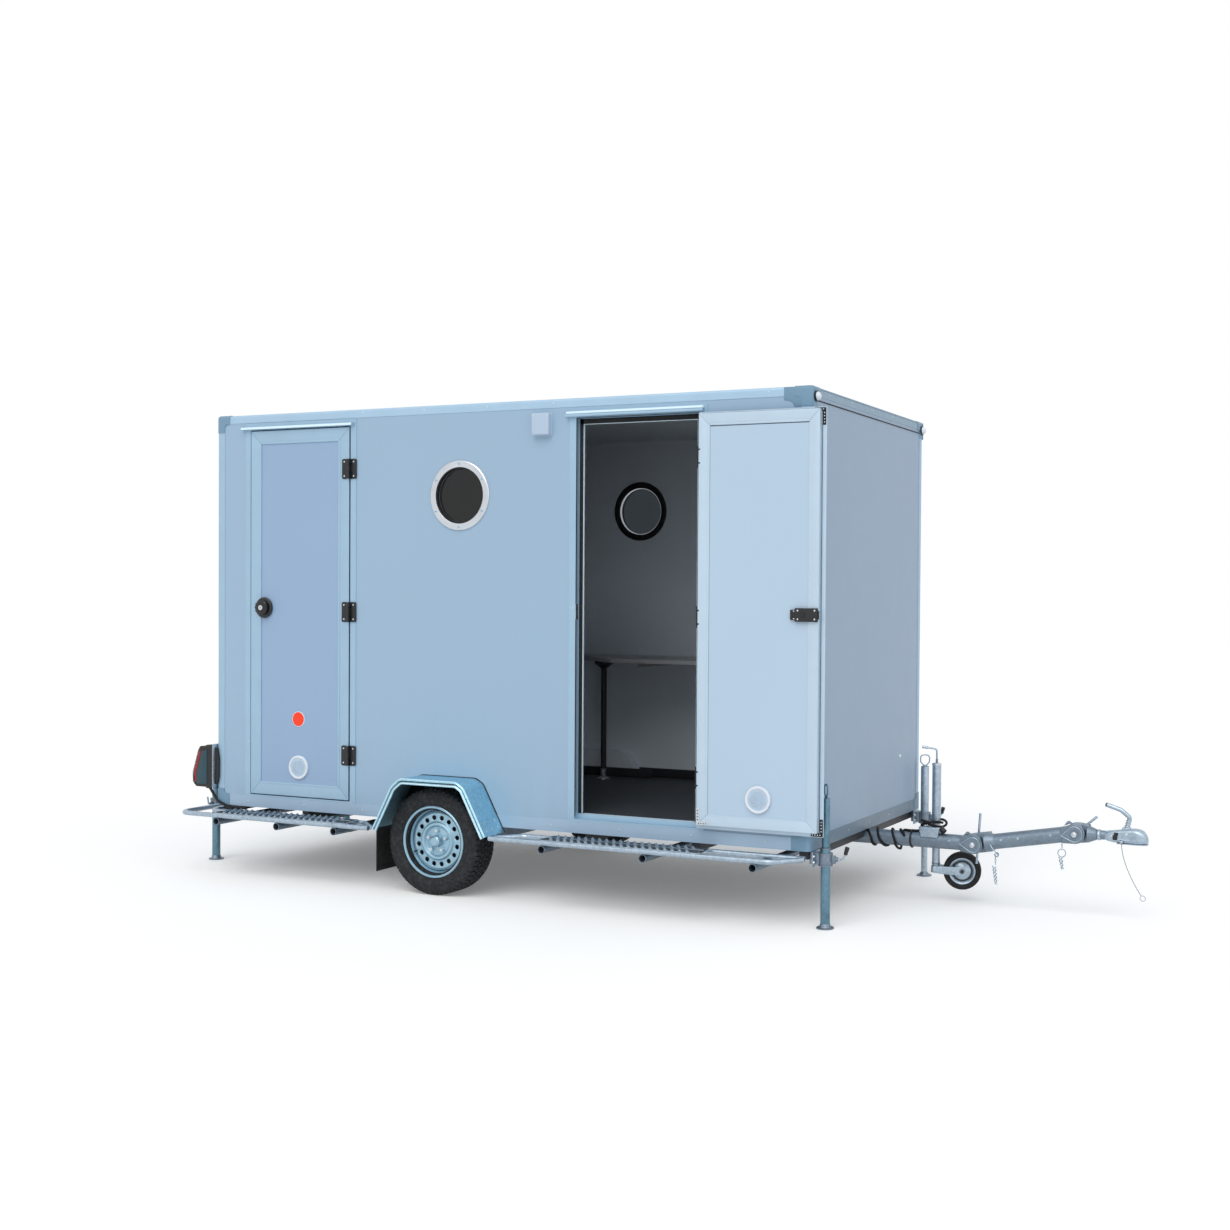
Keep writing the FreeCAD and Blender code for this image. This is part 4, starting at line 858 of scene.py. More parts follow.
def tread_plates():
    p = Piece("tread_plates_punched", "zinc", "black")
    y_out, y_in = -OUT_Y - 4, -IN_Y + 2
    z = RAIL_Z + 13.6
    pitch = 41.0
    for x0, x1 in TREADS:
        p.add(bm_box(x0, x1, y_out, y_in, z, z + 2.5), 0, 0.5)
        for edge in (y_out, y_in):
            p.add(bm_box(x0, x1, edge - 1.0, edge + 1.0, z - 8, z + 2.5), 0, 0.6)
        # black sheet between the ribs: painted shade standing in for the dark seen through the punched slots
        p.add(bm_box(x0 + 2, x1 - 2, y_out + 1, y_in - 1, z + 2.4, z + 3.0), 1)
        mid_y = (y_out + y_in) / 2
        for lo_y, hi_y in ((y_out + 2, mid_y - 3), (mid_y + 3, y_in - 2)):
            lean = -0.62 * (hi_y - lo_y)
            for k in range(int((x1 - x0 + lean) / pitch)):
                x = x0 - lean + pitch * (k + 0.3)
                rib = [(x, lo_y), (x + 19, lo_y), (x + 19 + lean, hi_y), (x + lean, hi_y)]
                p.add(bm_prism(rib, "xy", z + 2, z + 7.5), 0, 1.5)
                tip = [(x + 3, lo_y + 4), (x + 8, lo_y + 4), (x + 8 + lean * 0.8, hi_y - 6),
                       (x + 3 + lean * 0.8, hi_y - 6)]
                p.add(bm_prism(tip, "xy", z + 7, z + 13), 0, 1.0)
        p.add(bm_box(x0, x1, mid_y - 3, mid_y + 3, z + 2, z + 7), 0, 0.8)
        for end, way in ((x0, -1), (x1, 1)):
            teeth = [(end, y_out), (end, y_in)]
            n = 6
            step = (y_in - y_out) / n
            for k in reversed(range(n)):
                teeth.append((end + way * 13, y_out + step * (k + 0.5)))
                teeth.append((end, y_out + step * k))
            p.add(bm_prism(teeth[:-1], "xy", z, z + 3), 0, 0.4)
    p.mirrored()
    p.done("trailer", "galvanised", "tread_plates")


tread_plates()


# Rear lamps on bright plates, with side strips, red strip, reflector and conduit
def rear_lamps():
    y1, y0 = -900.0, -760.0
    x0 = -1879.0
    p = Piece("rear_lamp_housings", "black_gloss", "rubber", "teal", "bright")
    shield = rounded([(x0 - 4, 0, 500), (x0 + 16, 0, 500), (x0 + 30, 0, 540), (x0 + 32, 0, 650),
                      (x0 + 20, 0, 712), (x0 - 4, 0, 722)],
                     [2, 12, 20, 20, 14, 2])
    p.add(bm_prism([(q.x, q.z) for q in shield], "xz", -884, -871.6), 0, 3.0)
    p.add(bm_box(x0 - 1, x0 + 5, y1 - 1, -871, 476, 736), 3, 1.5)
    conduit = [(x0 - 40, -884, 486), (x0 - 12, -884, 452), (x0 + 26, -884, 404), (x0 + 84, -880, 380),
               (x0 + 236, -878, 371)]
    p.add(bm_tube(rounded(conduit, [2, 40, 50, 40, 2]), 8.0, 12), 1)
    body = [(x0, 482), (x0 - 128, 482), (x0 - 150, 500), (x0 - 152, 560), (x0 - 100, 722), (x0, 726)]
    p.add(bm_prism(body, "xz", y1 + 2, y0 - 2), 0, 7.0, 3)
    back = [(x0 + 2, 474), (x0 - 60, 474), (x0 - 60, 730), (x0 + 2, 734)]
    p.add(bm_prism(back, "xz", y1 + 8, y0 - 8), 0, 5.0)
    panel = [(x0 - 44, 500), (x0 - 118, 500), (x0 - 128, 520), (x0 - 126, 560), (x0 - 84, 694),
             (x0 - 44, 700)]
    p.add(bm_prism(panel, "xz", y1 - 0.5, y1 + 4), 2, 1.5)
    p.mirrored()
    p.done("trailer", "black_plastic", "rear_lamps")
    q = Piece("rear_lamp_strips", "lens", "lamp_lens", "amber")
    # rear-facing lens in three bands, following the slant
    knee, top = Vector((x0 - 153, 560)), Vector((x0 - 103, 716))
    bands = [(0.02, 0.32, 2), (0.34, 0.66, 0), (0.68, 0.98, 0)]
    run = (top - knee)
    normal = Vector((-run.y, run.x)).normalized()
    for a, b, m in bands:
        s, e = knee + run * a, knee + run * b
        q.add(bm_prism([tuple(s), tuple(e), tuple(e + normal * 9), tuple(s + normal * 9)], "xz", y1 + 12,
                       y0 - 12), m, 2.5, 2)
    q.add(bm_prism([(x0 - 152, 506), (x0 - 153, 556), (x0 - 161, 556), (x0 - 160, 506)], "xz", y1 + 12,
                   y0 - 12), 1, 2.5)
    # strips that show from the side
    red = [(x0 - 134, 512), (x0 - 122, 512), (x0 - 126, 562), (x0 - 86, 692), (x0 - 98, 692), (x0 - 139, 566)]
    clear = [(x0 - 150, 508), (x0 - 138, 508), (x0 - 143, 564), (x0 - 100, 700), (x0 - 108, 704),
             (x0 - 152, 566)]
    q.add(bm_prism(red, "xz", y1 - 1.5, y1 + 4), 0, 1.0)
    q.add(bm_prism(clear, "xz", y1 - 1.0, y1 + 4), 1, 1.0)
    q.mirrored()
    q.done("trailer", "lens", "rear_lamp_lenses")


rear_lamps()


# Marker lamps on the front corners, courtesy lamp over the door
def small_lamps():
    p = Piece("marker_and_door_lamps", "white_plastic", "black", "roof", "bright")
    z = 2604
    for y in (-838, 838):
        p.add(bm_rod((1878, y, z), (1886, y, z), 27, 27, 36), 1, 1.5)
        p.add(bm_rod((1886, y, z), (1891, y, z), 22, 21, 36), 0, 1.0)
        p.add(bm_dome((1891, y, z), (1, 0, 0), 20, 14, 32, 6), 0)
    x0, x1, z0, z1 = 297, 402, 2464, 2579
    p.add(bm_box(x0, x1, -906, -866, z0, z1), 2, 7.0, 3)
    p.add(bm_box(x0 - 3, x1 + 3, -873, -866, z0 - 3, z1 + 3), 2, 2.0)
    for x in (x0 + 9, x1 - 9):
        screw(p, (x, -906, z1 - 12), (0, -1, 0), 3.6, 3)
    p.done("trailer", "white_plastic", "small_lamps")


small_lamps()


# Prop legs
def loop_handle(p, x, y, z, along, mat=0):
    """Bent wire loop on a short neck; along is its direction in plan."""
    d = Vector((along[0], along[1], 0)).normalized()
    pts = []
    for side, rise in ((-7, 0), (-9, 6), (-25, 22), (-27, 48), (-20, 62), (0, 66), (20, 62), (27, 48),
                       (25, 22), (9, 6), (7, 0)):
        pts.append((x + d.x * side, y + d.y * side, z + rise))
    p.add(bm_tube(rounded(pts, [2, 8, 11, 9, 11, 11, 9, 11, 8]), 4.2, 12), mat)


LEGS = [
    ("leg_front_right", 1932.0, -797.0, 641.0, 398.0, True, (0.6, -0.8)),
    ("leg_front_left", 1932.0, 797.0, 641.0, 240.0, False, (0.91, 0.41)),
    ("leg_rear_right", -2120.0, -612.0, 450.0, 398.0, True, (0.6, -0.8)),
    ("leg_rear_left", -2120.0, 612.0, 450.0, 398.0, True, (0.91, 0.41)),
]


def legs():
    for name, x, y, top, step, wide_below, along in LEGS:
        p = Piece(name + "_tube", "leg_zinc" if wide_below else "zinc", "zinc_dull", "black")
        low_r, high_r = (23.8, 19.5) if wide_below else (18.0, 23.8)
        p.add(bm_rod((x, y, 8), (x, y, step), low_r, low_r, 40), 0, 1.0)
        p.add(bm_rod((x, y, step - 6), (x, y, top), high_r, high_r, 40), 0, 1.2)
        if wide_below:
            p.add(bm_lathe([(0, low_r + 0.1), (0, low_r + 1.4), (8, low_r + 1.4), (8, high_r + 0.2)],
                           (x, y, step - 8), (0, 0, 1), 40, False), 1)
        else:
            p.add(bm_lathe([(0, low_r), (0, high_r + 0.6), (9, high_r + 0.6), (9, high_r)], (x, y, step),
                           (0, 0, 1), 40, False), 1)
        # foot plate with a turned-up rim and a small cone
        p.add(bm_lathe([(0, 0), (0, 42), (2, 44), (6, 44), (8, 41.5), (8, 30), (13, 27), (22, low_r + 2.5),
                        (25, low_r), (25, 0)],
                       (x, y, 0), (0, 0, 1), 48, False), 1)
        p.add(bm_dome((x, y, top), (0, 0, 1), high_r - 1, 3, 32, 3), 1)
        loop_handle(p, x, y, top + 2, along)
        p.add(bm_rod((x, y, top), (x, y, top + 9), 7, 6, 20), 0)
        p.done(name + "_body", "galvanised", name)


legs()


# Brackets that clamp the legs, and the plates behind the rear lamps
def brackets():
    p = Piece("leg_clamps_and_lamp_plates", "zinc_dull", "zinc", "black", "bright")
    for name, x, y, top, step, wide_below, along in LEGS:
        s = 1 if y > 0 else -1
        lo_z, hi_z = 308.0, 374.0
        p.add(bm_pipe((x, y, lo_z), (x, y, hi_z), 34, 24.4, 48), 0, 1.5)
        for z in (lo_z + 5, hi_z - 5):
            p.add(bm_lathe([(-3.5, 33.5), (-3.5, 36.5), (3.5, 36.5), (3.5, 33.5)], (x, y, z), (0, 0, 1),
                           48), 0, 0.8)
        if x > 0:
            # bracket off the front member, ears, screw with a black grip
            p.add(bm_box(1855, x - 26, y - 22, y + 22, lo_z + 8, hi_z), 0, 2.5)
            p.add(bm_box(1876, 1882, y - 46.8, y + 52, lo_z - 4, hi_z + 6), 1, 2.0)
            p.add(bm_prism([(x - 40, y - 20), (x - 60, y - 4), (x - 60, y + 4), (x - 40, y + 20)], "xy",
                           hi_z - 22, hi_z - 18), 0, 0.6)
            for z in (lo_z + 18, hi_z - 18):
                p.add(bm_prism(hexagon(y - 36, z, 8), "yz", 1881, 1889), 3, 1.0)
                p.add(bm_prism(hexagon(y + 38, z, 8), "yz", 1881, 1889), 3, 1.0)
            p.add(bm_box(x + 24, x + 52, y - 7, y + 7, lo_z + 14, hi_z - 12), 0, 2.0)
            p.add(bm_rod((x + 50, y, 344), (x + 62, y, 344), 12, 12, 24), 0, 1.2)
            crank = rounded([(x + 30, y, 344), (x + 88, y, 344), (x + 104, y, 372)], 10)
            p.add(bm_tube(crank, 5.2, 12), 1)
            p.add(bm_rod((x + 103, y, 370), (x + 114, y, 408), 9.5, 11.5, 24), 2, 3.0)
        else:
            rail_x = -1980.0
            p.add(bm_box(x + 26, rail_x - 12, y - 22, y + 22, lo_z + 8, hi_z - 8), 0, 2.5)
            p.add(bm_pipe((rail_x, y - 24, RAIL_Z), (rail_x, y + 24, RAIL_Z), 17.5, 13.6, 32), 0, 1.0)
            p.add(bm_rod((x, y + s * 30, 344), (x, y + s * 48, 344), 11, 11, 24), 0, 1.0)
            crank = rounded([(x, y + s * 34, 344), (x, y + s * 66, 344), (x - 4, y + s * 70, 388)], 8)
            p.add(bm_tube(crank, 5.0, 12), 1)
    for s in (-1, 1):
        p.add(bm_box(-1875, -1879, s * 904, s * 756, 483, 734), 1, 1.2)
        for z in (500, 716):
            p.add(bm_prism(hexagon(s * 880, z, 7), "yz", -1879, -1884), 3, 0.8)
    p.done("trailer", "galvanised", "galvanised_brackets")


brackets()


# Drawbar: tubes with cast ends, toothed joint faces, drop-shaped bosses, tommy bars
JOINT_1 = (2460.0, 342.0)
JOINT_2 = (2990.0, 434.0)
HALF = 46.0


def drop_outline(cx, cz, r, reach, lean, n=26):
    """Circle drawn out to a point at the reach, turned by lean."""
    a0 = math.acos(r / reach)
    out = [(reach, 0.0)]
    for k in range(n + 1):
        a = a0 + (2 * math.pi - 2 * a0) * k / n
        out.append((r * math.cos(a), r * math.sin(a)))
    turn = math.pi + lean
    return [(cx + x * math.cos(turn) - z * math.sin(turn),
             cz + x * math.sin(turn) + z * math.cos(turn)) for x, z in out]


def hull(points):
    """Convex outline round the points."""
    pts = sorted(set(points))

    def half(seq):
        out = []
        for q in seq:
            while len(out) > 1:
                (ax, az), (bx, bz) = out[-2:]
                if (bx - ax) * (q[1] - az) - (bz - az) * (q[0] - ax) > 0:
                    break
                out.pop()
            out.append(q)
        return out[:-1]
    return half(pts) + half(pts[::-1])


def teeth_ring(cx, cz, y0, y1, r_in, r_out, n=40):
    """Face teeth of a joint disc: radial ridges from y0 (root) to y1 (tip)."""
    bm = bmesh.new()
    inner, outer, base_in, base_out = [], [], [], []
    back = y0 - (y1 - y0) * 1.5
    for k in range(2 * n):
        a = math.pi * k / n
        y = y1 if k % 2 else y0
        c, s_ = math.cos(a), math.sin(a)
        inner.append(bm.verts.new(at(cx + r_in * c, y, cz + r_in * s_)))
        outer.append(bm.verts.new(at(cx + r_out * c, y, cz + r_out * s_)))
        base_in.append(bm.verts.new(at(cx + r_in * c, back, cz + r_in * s_)))
        base_out.append(bm.verts.new(at(cx + r_out * c, back, cz + r_out * s_)))
    for k in range(2 * n):
        j = (k + 1) % (2 * n)
        for a, b in ((inner, outer), (outer, base_out), (base_out, base_in), (base_in, inner)):
            bm.faces.new((a[k], b[k], b[j], a[j]))
    bmesh.ops.recalc_face_normals(bm, faces=bm.faces)
    return bm


def near_cheek(p, joint, lean, tube_start):
    """End casting on the near (right) side, on a tube that comes from the rear."""
    x, z = joint
    back = Vector((math.cos(lean), math.sin(lean)))
    bx, bz = x - back.x * tube_start, z - back.y * tube_start
    nx, nz = -back.y, back.x
    tongue = hull(disc(x, z, 50, 48) + [(bx + nx * 39, bz + nz * 39), (bx - nx * 39, bz - nz * 39)])
    p.add(bm_prism(tongue, "xz", -HALF + 4, -3), 0, 5.0, 3)
    drop = drop_outline(x, z, 41, 76, lean)
    p.add(bm_prism(drop, "xz", -HALF - 5, -HALF + 6), 0, 3.0, 3)
    ring = [(a, -HALF - 5, b) for a, b in drop_outline(x, z, 38.5, 71, lean)]
    p.add(bm_tube(ring, 2.6, 10, closed=True), 1)
    p.add(bm_rod((x, -HALF - 4, z), (x, -HALF - 8, z), 21, 20, 36), 0, 1.2)
    p.add(bm_prism(hexagon(x, z, 15.5, lean), "xz", -HALF - 7, -HALF - 17), 2, 1.6)
    p.add(bm_dome((x, -HALF - 16, z), (0, -1, 0), 9.5, 3, 20, 3), 2)
    p.add(teeth_ring(x, z, -3.5, -0.4, 30, 50), 1)
    p.add(bm_rod((x, -4, z), (x, -0.5, z), 29, 29, 36), 0)
    # rib and small lug on the far upper edge
    lug = [(x - 62, z + 36), (x - 18, z + 51), (x - 34, z + 62), (x - 44, z + 60)]
    p.add(bm_prism(lug, "xz", -14, -6), 0, 1.5)


def far_cheek(p, joint, lean, tube_start, cone):
    """End casting on the far (left) side, on a tube that goes forward."""
    x, z = joint
    ahead = Vector((math.cos(lean), math.sin(lean)))
    bx, bz = x + ahead.x * tube_start, z + ahead.y * tube_start
    nx, nz = -ahead.y, ahead.x
    r = cone[0]
    tongue = hull(disc(x, z, 52, 48) + [(bx + nx * r, bz + nz * r), (bx - nx * r, bz - nz * r)])
    p.add(bm_prism(tongue, "xz", 3, HALF), 0, 5.0, 3)
    p.add(bm_prism(disc(x, z, 54, 60), "xz", 12, 20), 1, 1.5)
    p.add(teeth_ring(x, z, 3.5, 0.4, 30, 50), 1)
    p.add(bm_rod((x, 4, z), (x, 0.5, z), 29, 29, 36), 0)
    start = Vector((x + ahead.x * 60, 0, z + ahead.y * 60))
    end = Vector((x + ahead.x * (60 + cone[2]), 0, z + ahead.y * (60 + cone[2])))
    p.add(bm_rod(start, end, cone[0], cone[1], 48), 0, 3.0, 3)


def tommy_bar(p, x, z, y, up_len, down_len, lean):
    d = Vector((math.sin(lean), math.cos(lean)))
    p.add(bm_rod((x, y - 12, z), (x, y + 16, z), 19, 19, 32), 1, 2.5)
    p.add(bm_rod((x - d.x * down_len, y, z - d.y * down_len), (x + d.x * up_len, y, z + d.y * up_len), 6.6,
                 6.6, 20), 1, 1.5)
    for k in (-down_len, up_len):
        p.add(bm_rod((x + d.x * (k - 4), y, z + d.y * (k - 4)), (x + d.x * (k + 2), y, z + d.y * (k + 2)),
                     7.6, 7.0, 20), 1, 1.5)


def drawbar():
    lean = math.atan2(JOINT_2[1] - JOINT_1[1], JOINT_2[0] - JOINT_1[0])
    p = Piece("drawbar_rear_section", "zinc_dull", "zinc", "bright", "dark_steel")
    p.add(bm_rod((900, 0, 342), (2404, 0, 342), 40, 40, 56), 0)
    near_cheek(p, JOINT_1, 0.0, 72)
    p.add(bm_lathe([(0, 39.8), (2, 42.2), (10, 42.6), (14, 40)], (2392, 0, 342), (1, 0, 0), 56, False), 1)
    # bolt through both halves with its bar on the far side
    p.add(bm_rod((JOINT_1[0], -HALF, JOINT_1[1]), (JOINT_1[0], 60, JOINT_1[1]), 10.8, 10.8, 24), 2)
    tommy_bar(p, JOINT_1[0], JOINT_1[1], 62, 150, 112, 0.07)
    p.add(bm_rod((2330, -38, 352), (2330, -43, 352), 8, 7, 20), 1, 1.0)
    p.done("trailer", "galvanised", "drawbar")

    q = Piece("drawbar_middle_section", "zinc_dull", "zinc", "bright", "black")
    ux, uz = math.cos(lean), math.sin(lean)
    a = (JOINT_1[0] + ux * 100, 0, JOINT_1[1] + uz * 100)
    b = (JOINT_2[0] - ux * 58, 0, JOINT_2[1] - uz * 58)
    q.add(bm_rod(a, b, 40, 40, 56), 0)
    far_cheek(q, JOINT_1, lean, 88, (51, 40.5, 52))
    near_cheek(q, JOINT_2, lean, 72)
    q.add(bm_lathe([(0, 39.8), (2, 42.2), (10, 42.6), (14, 40)], (b[0] - ux * 14, 0, b[2] - uz * 14),
                   (ux, 0, uz), 56, False), 1)
    q.add(bm_rod((JOINT_2[0], -HALF, JOINT_2[1]), (JOINT_2[0], 60, JOINT_2[1]), 10.8, 10.8, 24), 2)
    tommy_bar(q, JOINT_2[0] + 6, JOINT_2[1] + 8, 60, 112, 40, 0.86)
    for k in (150, 240, 410):
        q.add(bm_rod((JOINT_1[0] + ux * k, -36, JOINT_1[1] + uz * k + 8),
                     (JOINT_1[0] + ux * k, -41.5, JOINT_1[1] + uz * k + 8), 9, 7, 20), 1, 1.5)
    # retaining clips on short chains
    for start, strap, twist in (((2560, -41, 352), True, 92), ((2921, -20, 388), False, 60)):
        x, y, z = start
        y = min(y, -20)
        if strap:
            q.add(bm_tube(rounded([(x - 14, -38, z + 4), (x + 4, -46, z - 20), (x + 34, -46, z - 52)], 10),
                          3.2, 10), 1)
            q.add(bm_lathe([(0, 6), (-3, 10), (0, 14), (3, 10)], (x + 28, -46, z - 52), (0.5, -0.8, 0.2),
                           24), 1)
            x, z = x + 22, z - 60
        y = -44 if strap else -22
        links = 3 if strap else 2
        for k in range(links):
            c = Vector((x, y, z - 8 - k * 15))
            w = Vector((1, 0, 0)) if k % 2 else Vector((0, 1, 0))
            turns = [2 * math.pi * i / 18 for i in range(18)]
            oval = [tuple(c + w * (3.4 * math.cos(t)) + Vector((0, 0, 9.5 * math.sin(t)))) for t in turns]
            q.add(bm_tube(oval, 1.5, 8, closed=True), 1)
        z -= 8 + links * 15
        if not strap:
            ring = [(a, y, b) for a, b in disc(x, z - 20, 20, 32)]
            q.add(bm_tube(ring, 2.6, 10, closed=True), 1)
            z -= 42
        # twisted wire end
        n = 40
        pts1, pts2 = [], []
        for k in range(n):
            f = k / (n - 1)
            r = 8.5 * (1 - 0.45 * f)
            ang = f * (5.0 if strap else 3.4) * math.pi
            drift = 10 * f
            pts1.append((x - 6 + drift + r * math.cos(ang), y + r * math.sin(ang), z - f * twist))
            pts2.append((x - 6 + drift - r * math.cos(ang), y - r * math.sin(ang), z - f * twist))
        q.add(bm_tube(pts1, 3.0, 8), 1)
        q.add(bm_tube(pts2, 3.0, 8), 1)
    q.done("drawbar_middle_body", "galvanised", "drawbar_middle")

    r = Piece("coupling_shaft_cast", "zinc_dull", "zinc", "bright")
    x, z = JOINT_2
    far_cheek(r, JOINT_2, 0.0, 66, (44, 26, 46))
    r.add(bm_rod((x + 96, 0, z), (3150, 0, z), 24, 22.5, 48), 0)
    r.add(bm_lathe([(0, 24), (3, 28), (12, 28), (16, 24)], (x + 108, 0, z), (1, 0, 0), 48, False), 1)
    r.done("coupling", "galvanised", "coupling_shaft")


drawbar()


# Coupling head, pressed from sheet round the ball, with its hand lever
def coupling():
    p = Piece("coupling_head_pressed", "zinc", "bright", "black")
    rows = [  # x, half width, bottom, top, corner
        (3132, 20, 414, 454, 19), (3150, 26, 408, 459, 18), (3176, 30, 403, 462, 16),
        (3210, 31, 402, 466, 15), (3246, 33, 400, 472, 16),
        (3280, 37, 399, 476, 20), (3306, 39, 398.5, 474, 24), (3326, 36, 398.5, 466, 26),
        (3340, 28, 398.5, 452, 22), (3348, 18, 398.5, 434, 14),
    ]
    rings = []
    for x, w, b, t, r in rows:
        r = min(r, w - 0.5, (t - b) / 2 - 0.5)
        rings.append([(x, y, (t + b) / 2 + zz) for y, zz in rounded_rect(2 * w, t - b, r, 6)])
    p.add(bm_loft(rings), 0)
    # turned-out lower edge
    lip = [(3196, -32), (3240, -36), (3280, -40), (3306, -42), (3328, -39), (3343, -30), (3350, -16)]
    lip += [(x, -y) for x, y in reversed(lip)]
    p.add(bm_prism(lip, "xy", 397.0, 401.5), 1, 1.4)
    p.add(bm_rod((3312, 0, 396.6), (3312, 0, 400), 29, 29, 40), 2)
    # long raised beads on the cheeks, pivot, black catch
    for s in (-1, 1):
        bead = rounded([(3190, s * 30.5, 424), (3250, s * 33.5, 418), (3318, s * 38.5, 420)], 60)
        p.add(bm_tube(bead, 4.0, 10), 0)
        p.add(bm_rod((3248, s * 30, 452), (3248, s * 40, 452), 9, 8, 24), 1, 1.5)
        p.add(bm_rod((3172, s * 27, 438), (3172, s * 33, 438), 7, 6.5, 20), 1, 1.0)
    p.add(bm_box(3178, 3202, -37, -24, 417, 441), 2, 4.5, 3)
    p.add(bm_box(3184, 3206, -33, -20, 440, 455), 2, 3.0)
    # eye that carries the cable
    p.add(bm_box(3215, 3233, -50, -29, 405, 417), 0, 3.0, 3)
    p.add(bm_rod((3224, CABLE_Y, 403.6), (3224, CABLE_Y, 418), 5.2, 4.6, 20), 1, 1.0)
    p.done("coupling", "galvanised", "coupling_head")

    q = Piece("coupling_lever_bar", "zinc", "bright", "black")
    line = rounded([(3240, 0, 466), (3258, 0, 530), (3214, 0, 566), (3143, 0, 588)], [16, 34])
    q.add(bm_sweep(line, circle(12.0, 18, 0.95)), 0)
    tip = Vector(line[-1])
    q.add(bm_dome(tip, tip - Vector(line[-2]), 12.0, 9, 20, 5), 2)
    for k in range(4):
        c = Vector((3240, 0, 466)).lerp(Vector((3258, 0, 530)), 0.12 + 0.2 * k)
        q.add(bm_lathe([(-3, 12), (-2, 15.5), (2, 15.5), (3, 12)], c, (18, 0, 64), 32), 1)
    q.add(bm_box(3222, 3262, -19, 19, 462, 482), 0, 5.0, 3)
    q.done("coupling", "galvanised", "coupling_lever")


coupling()


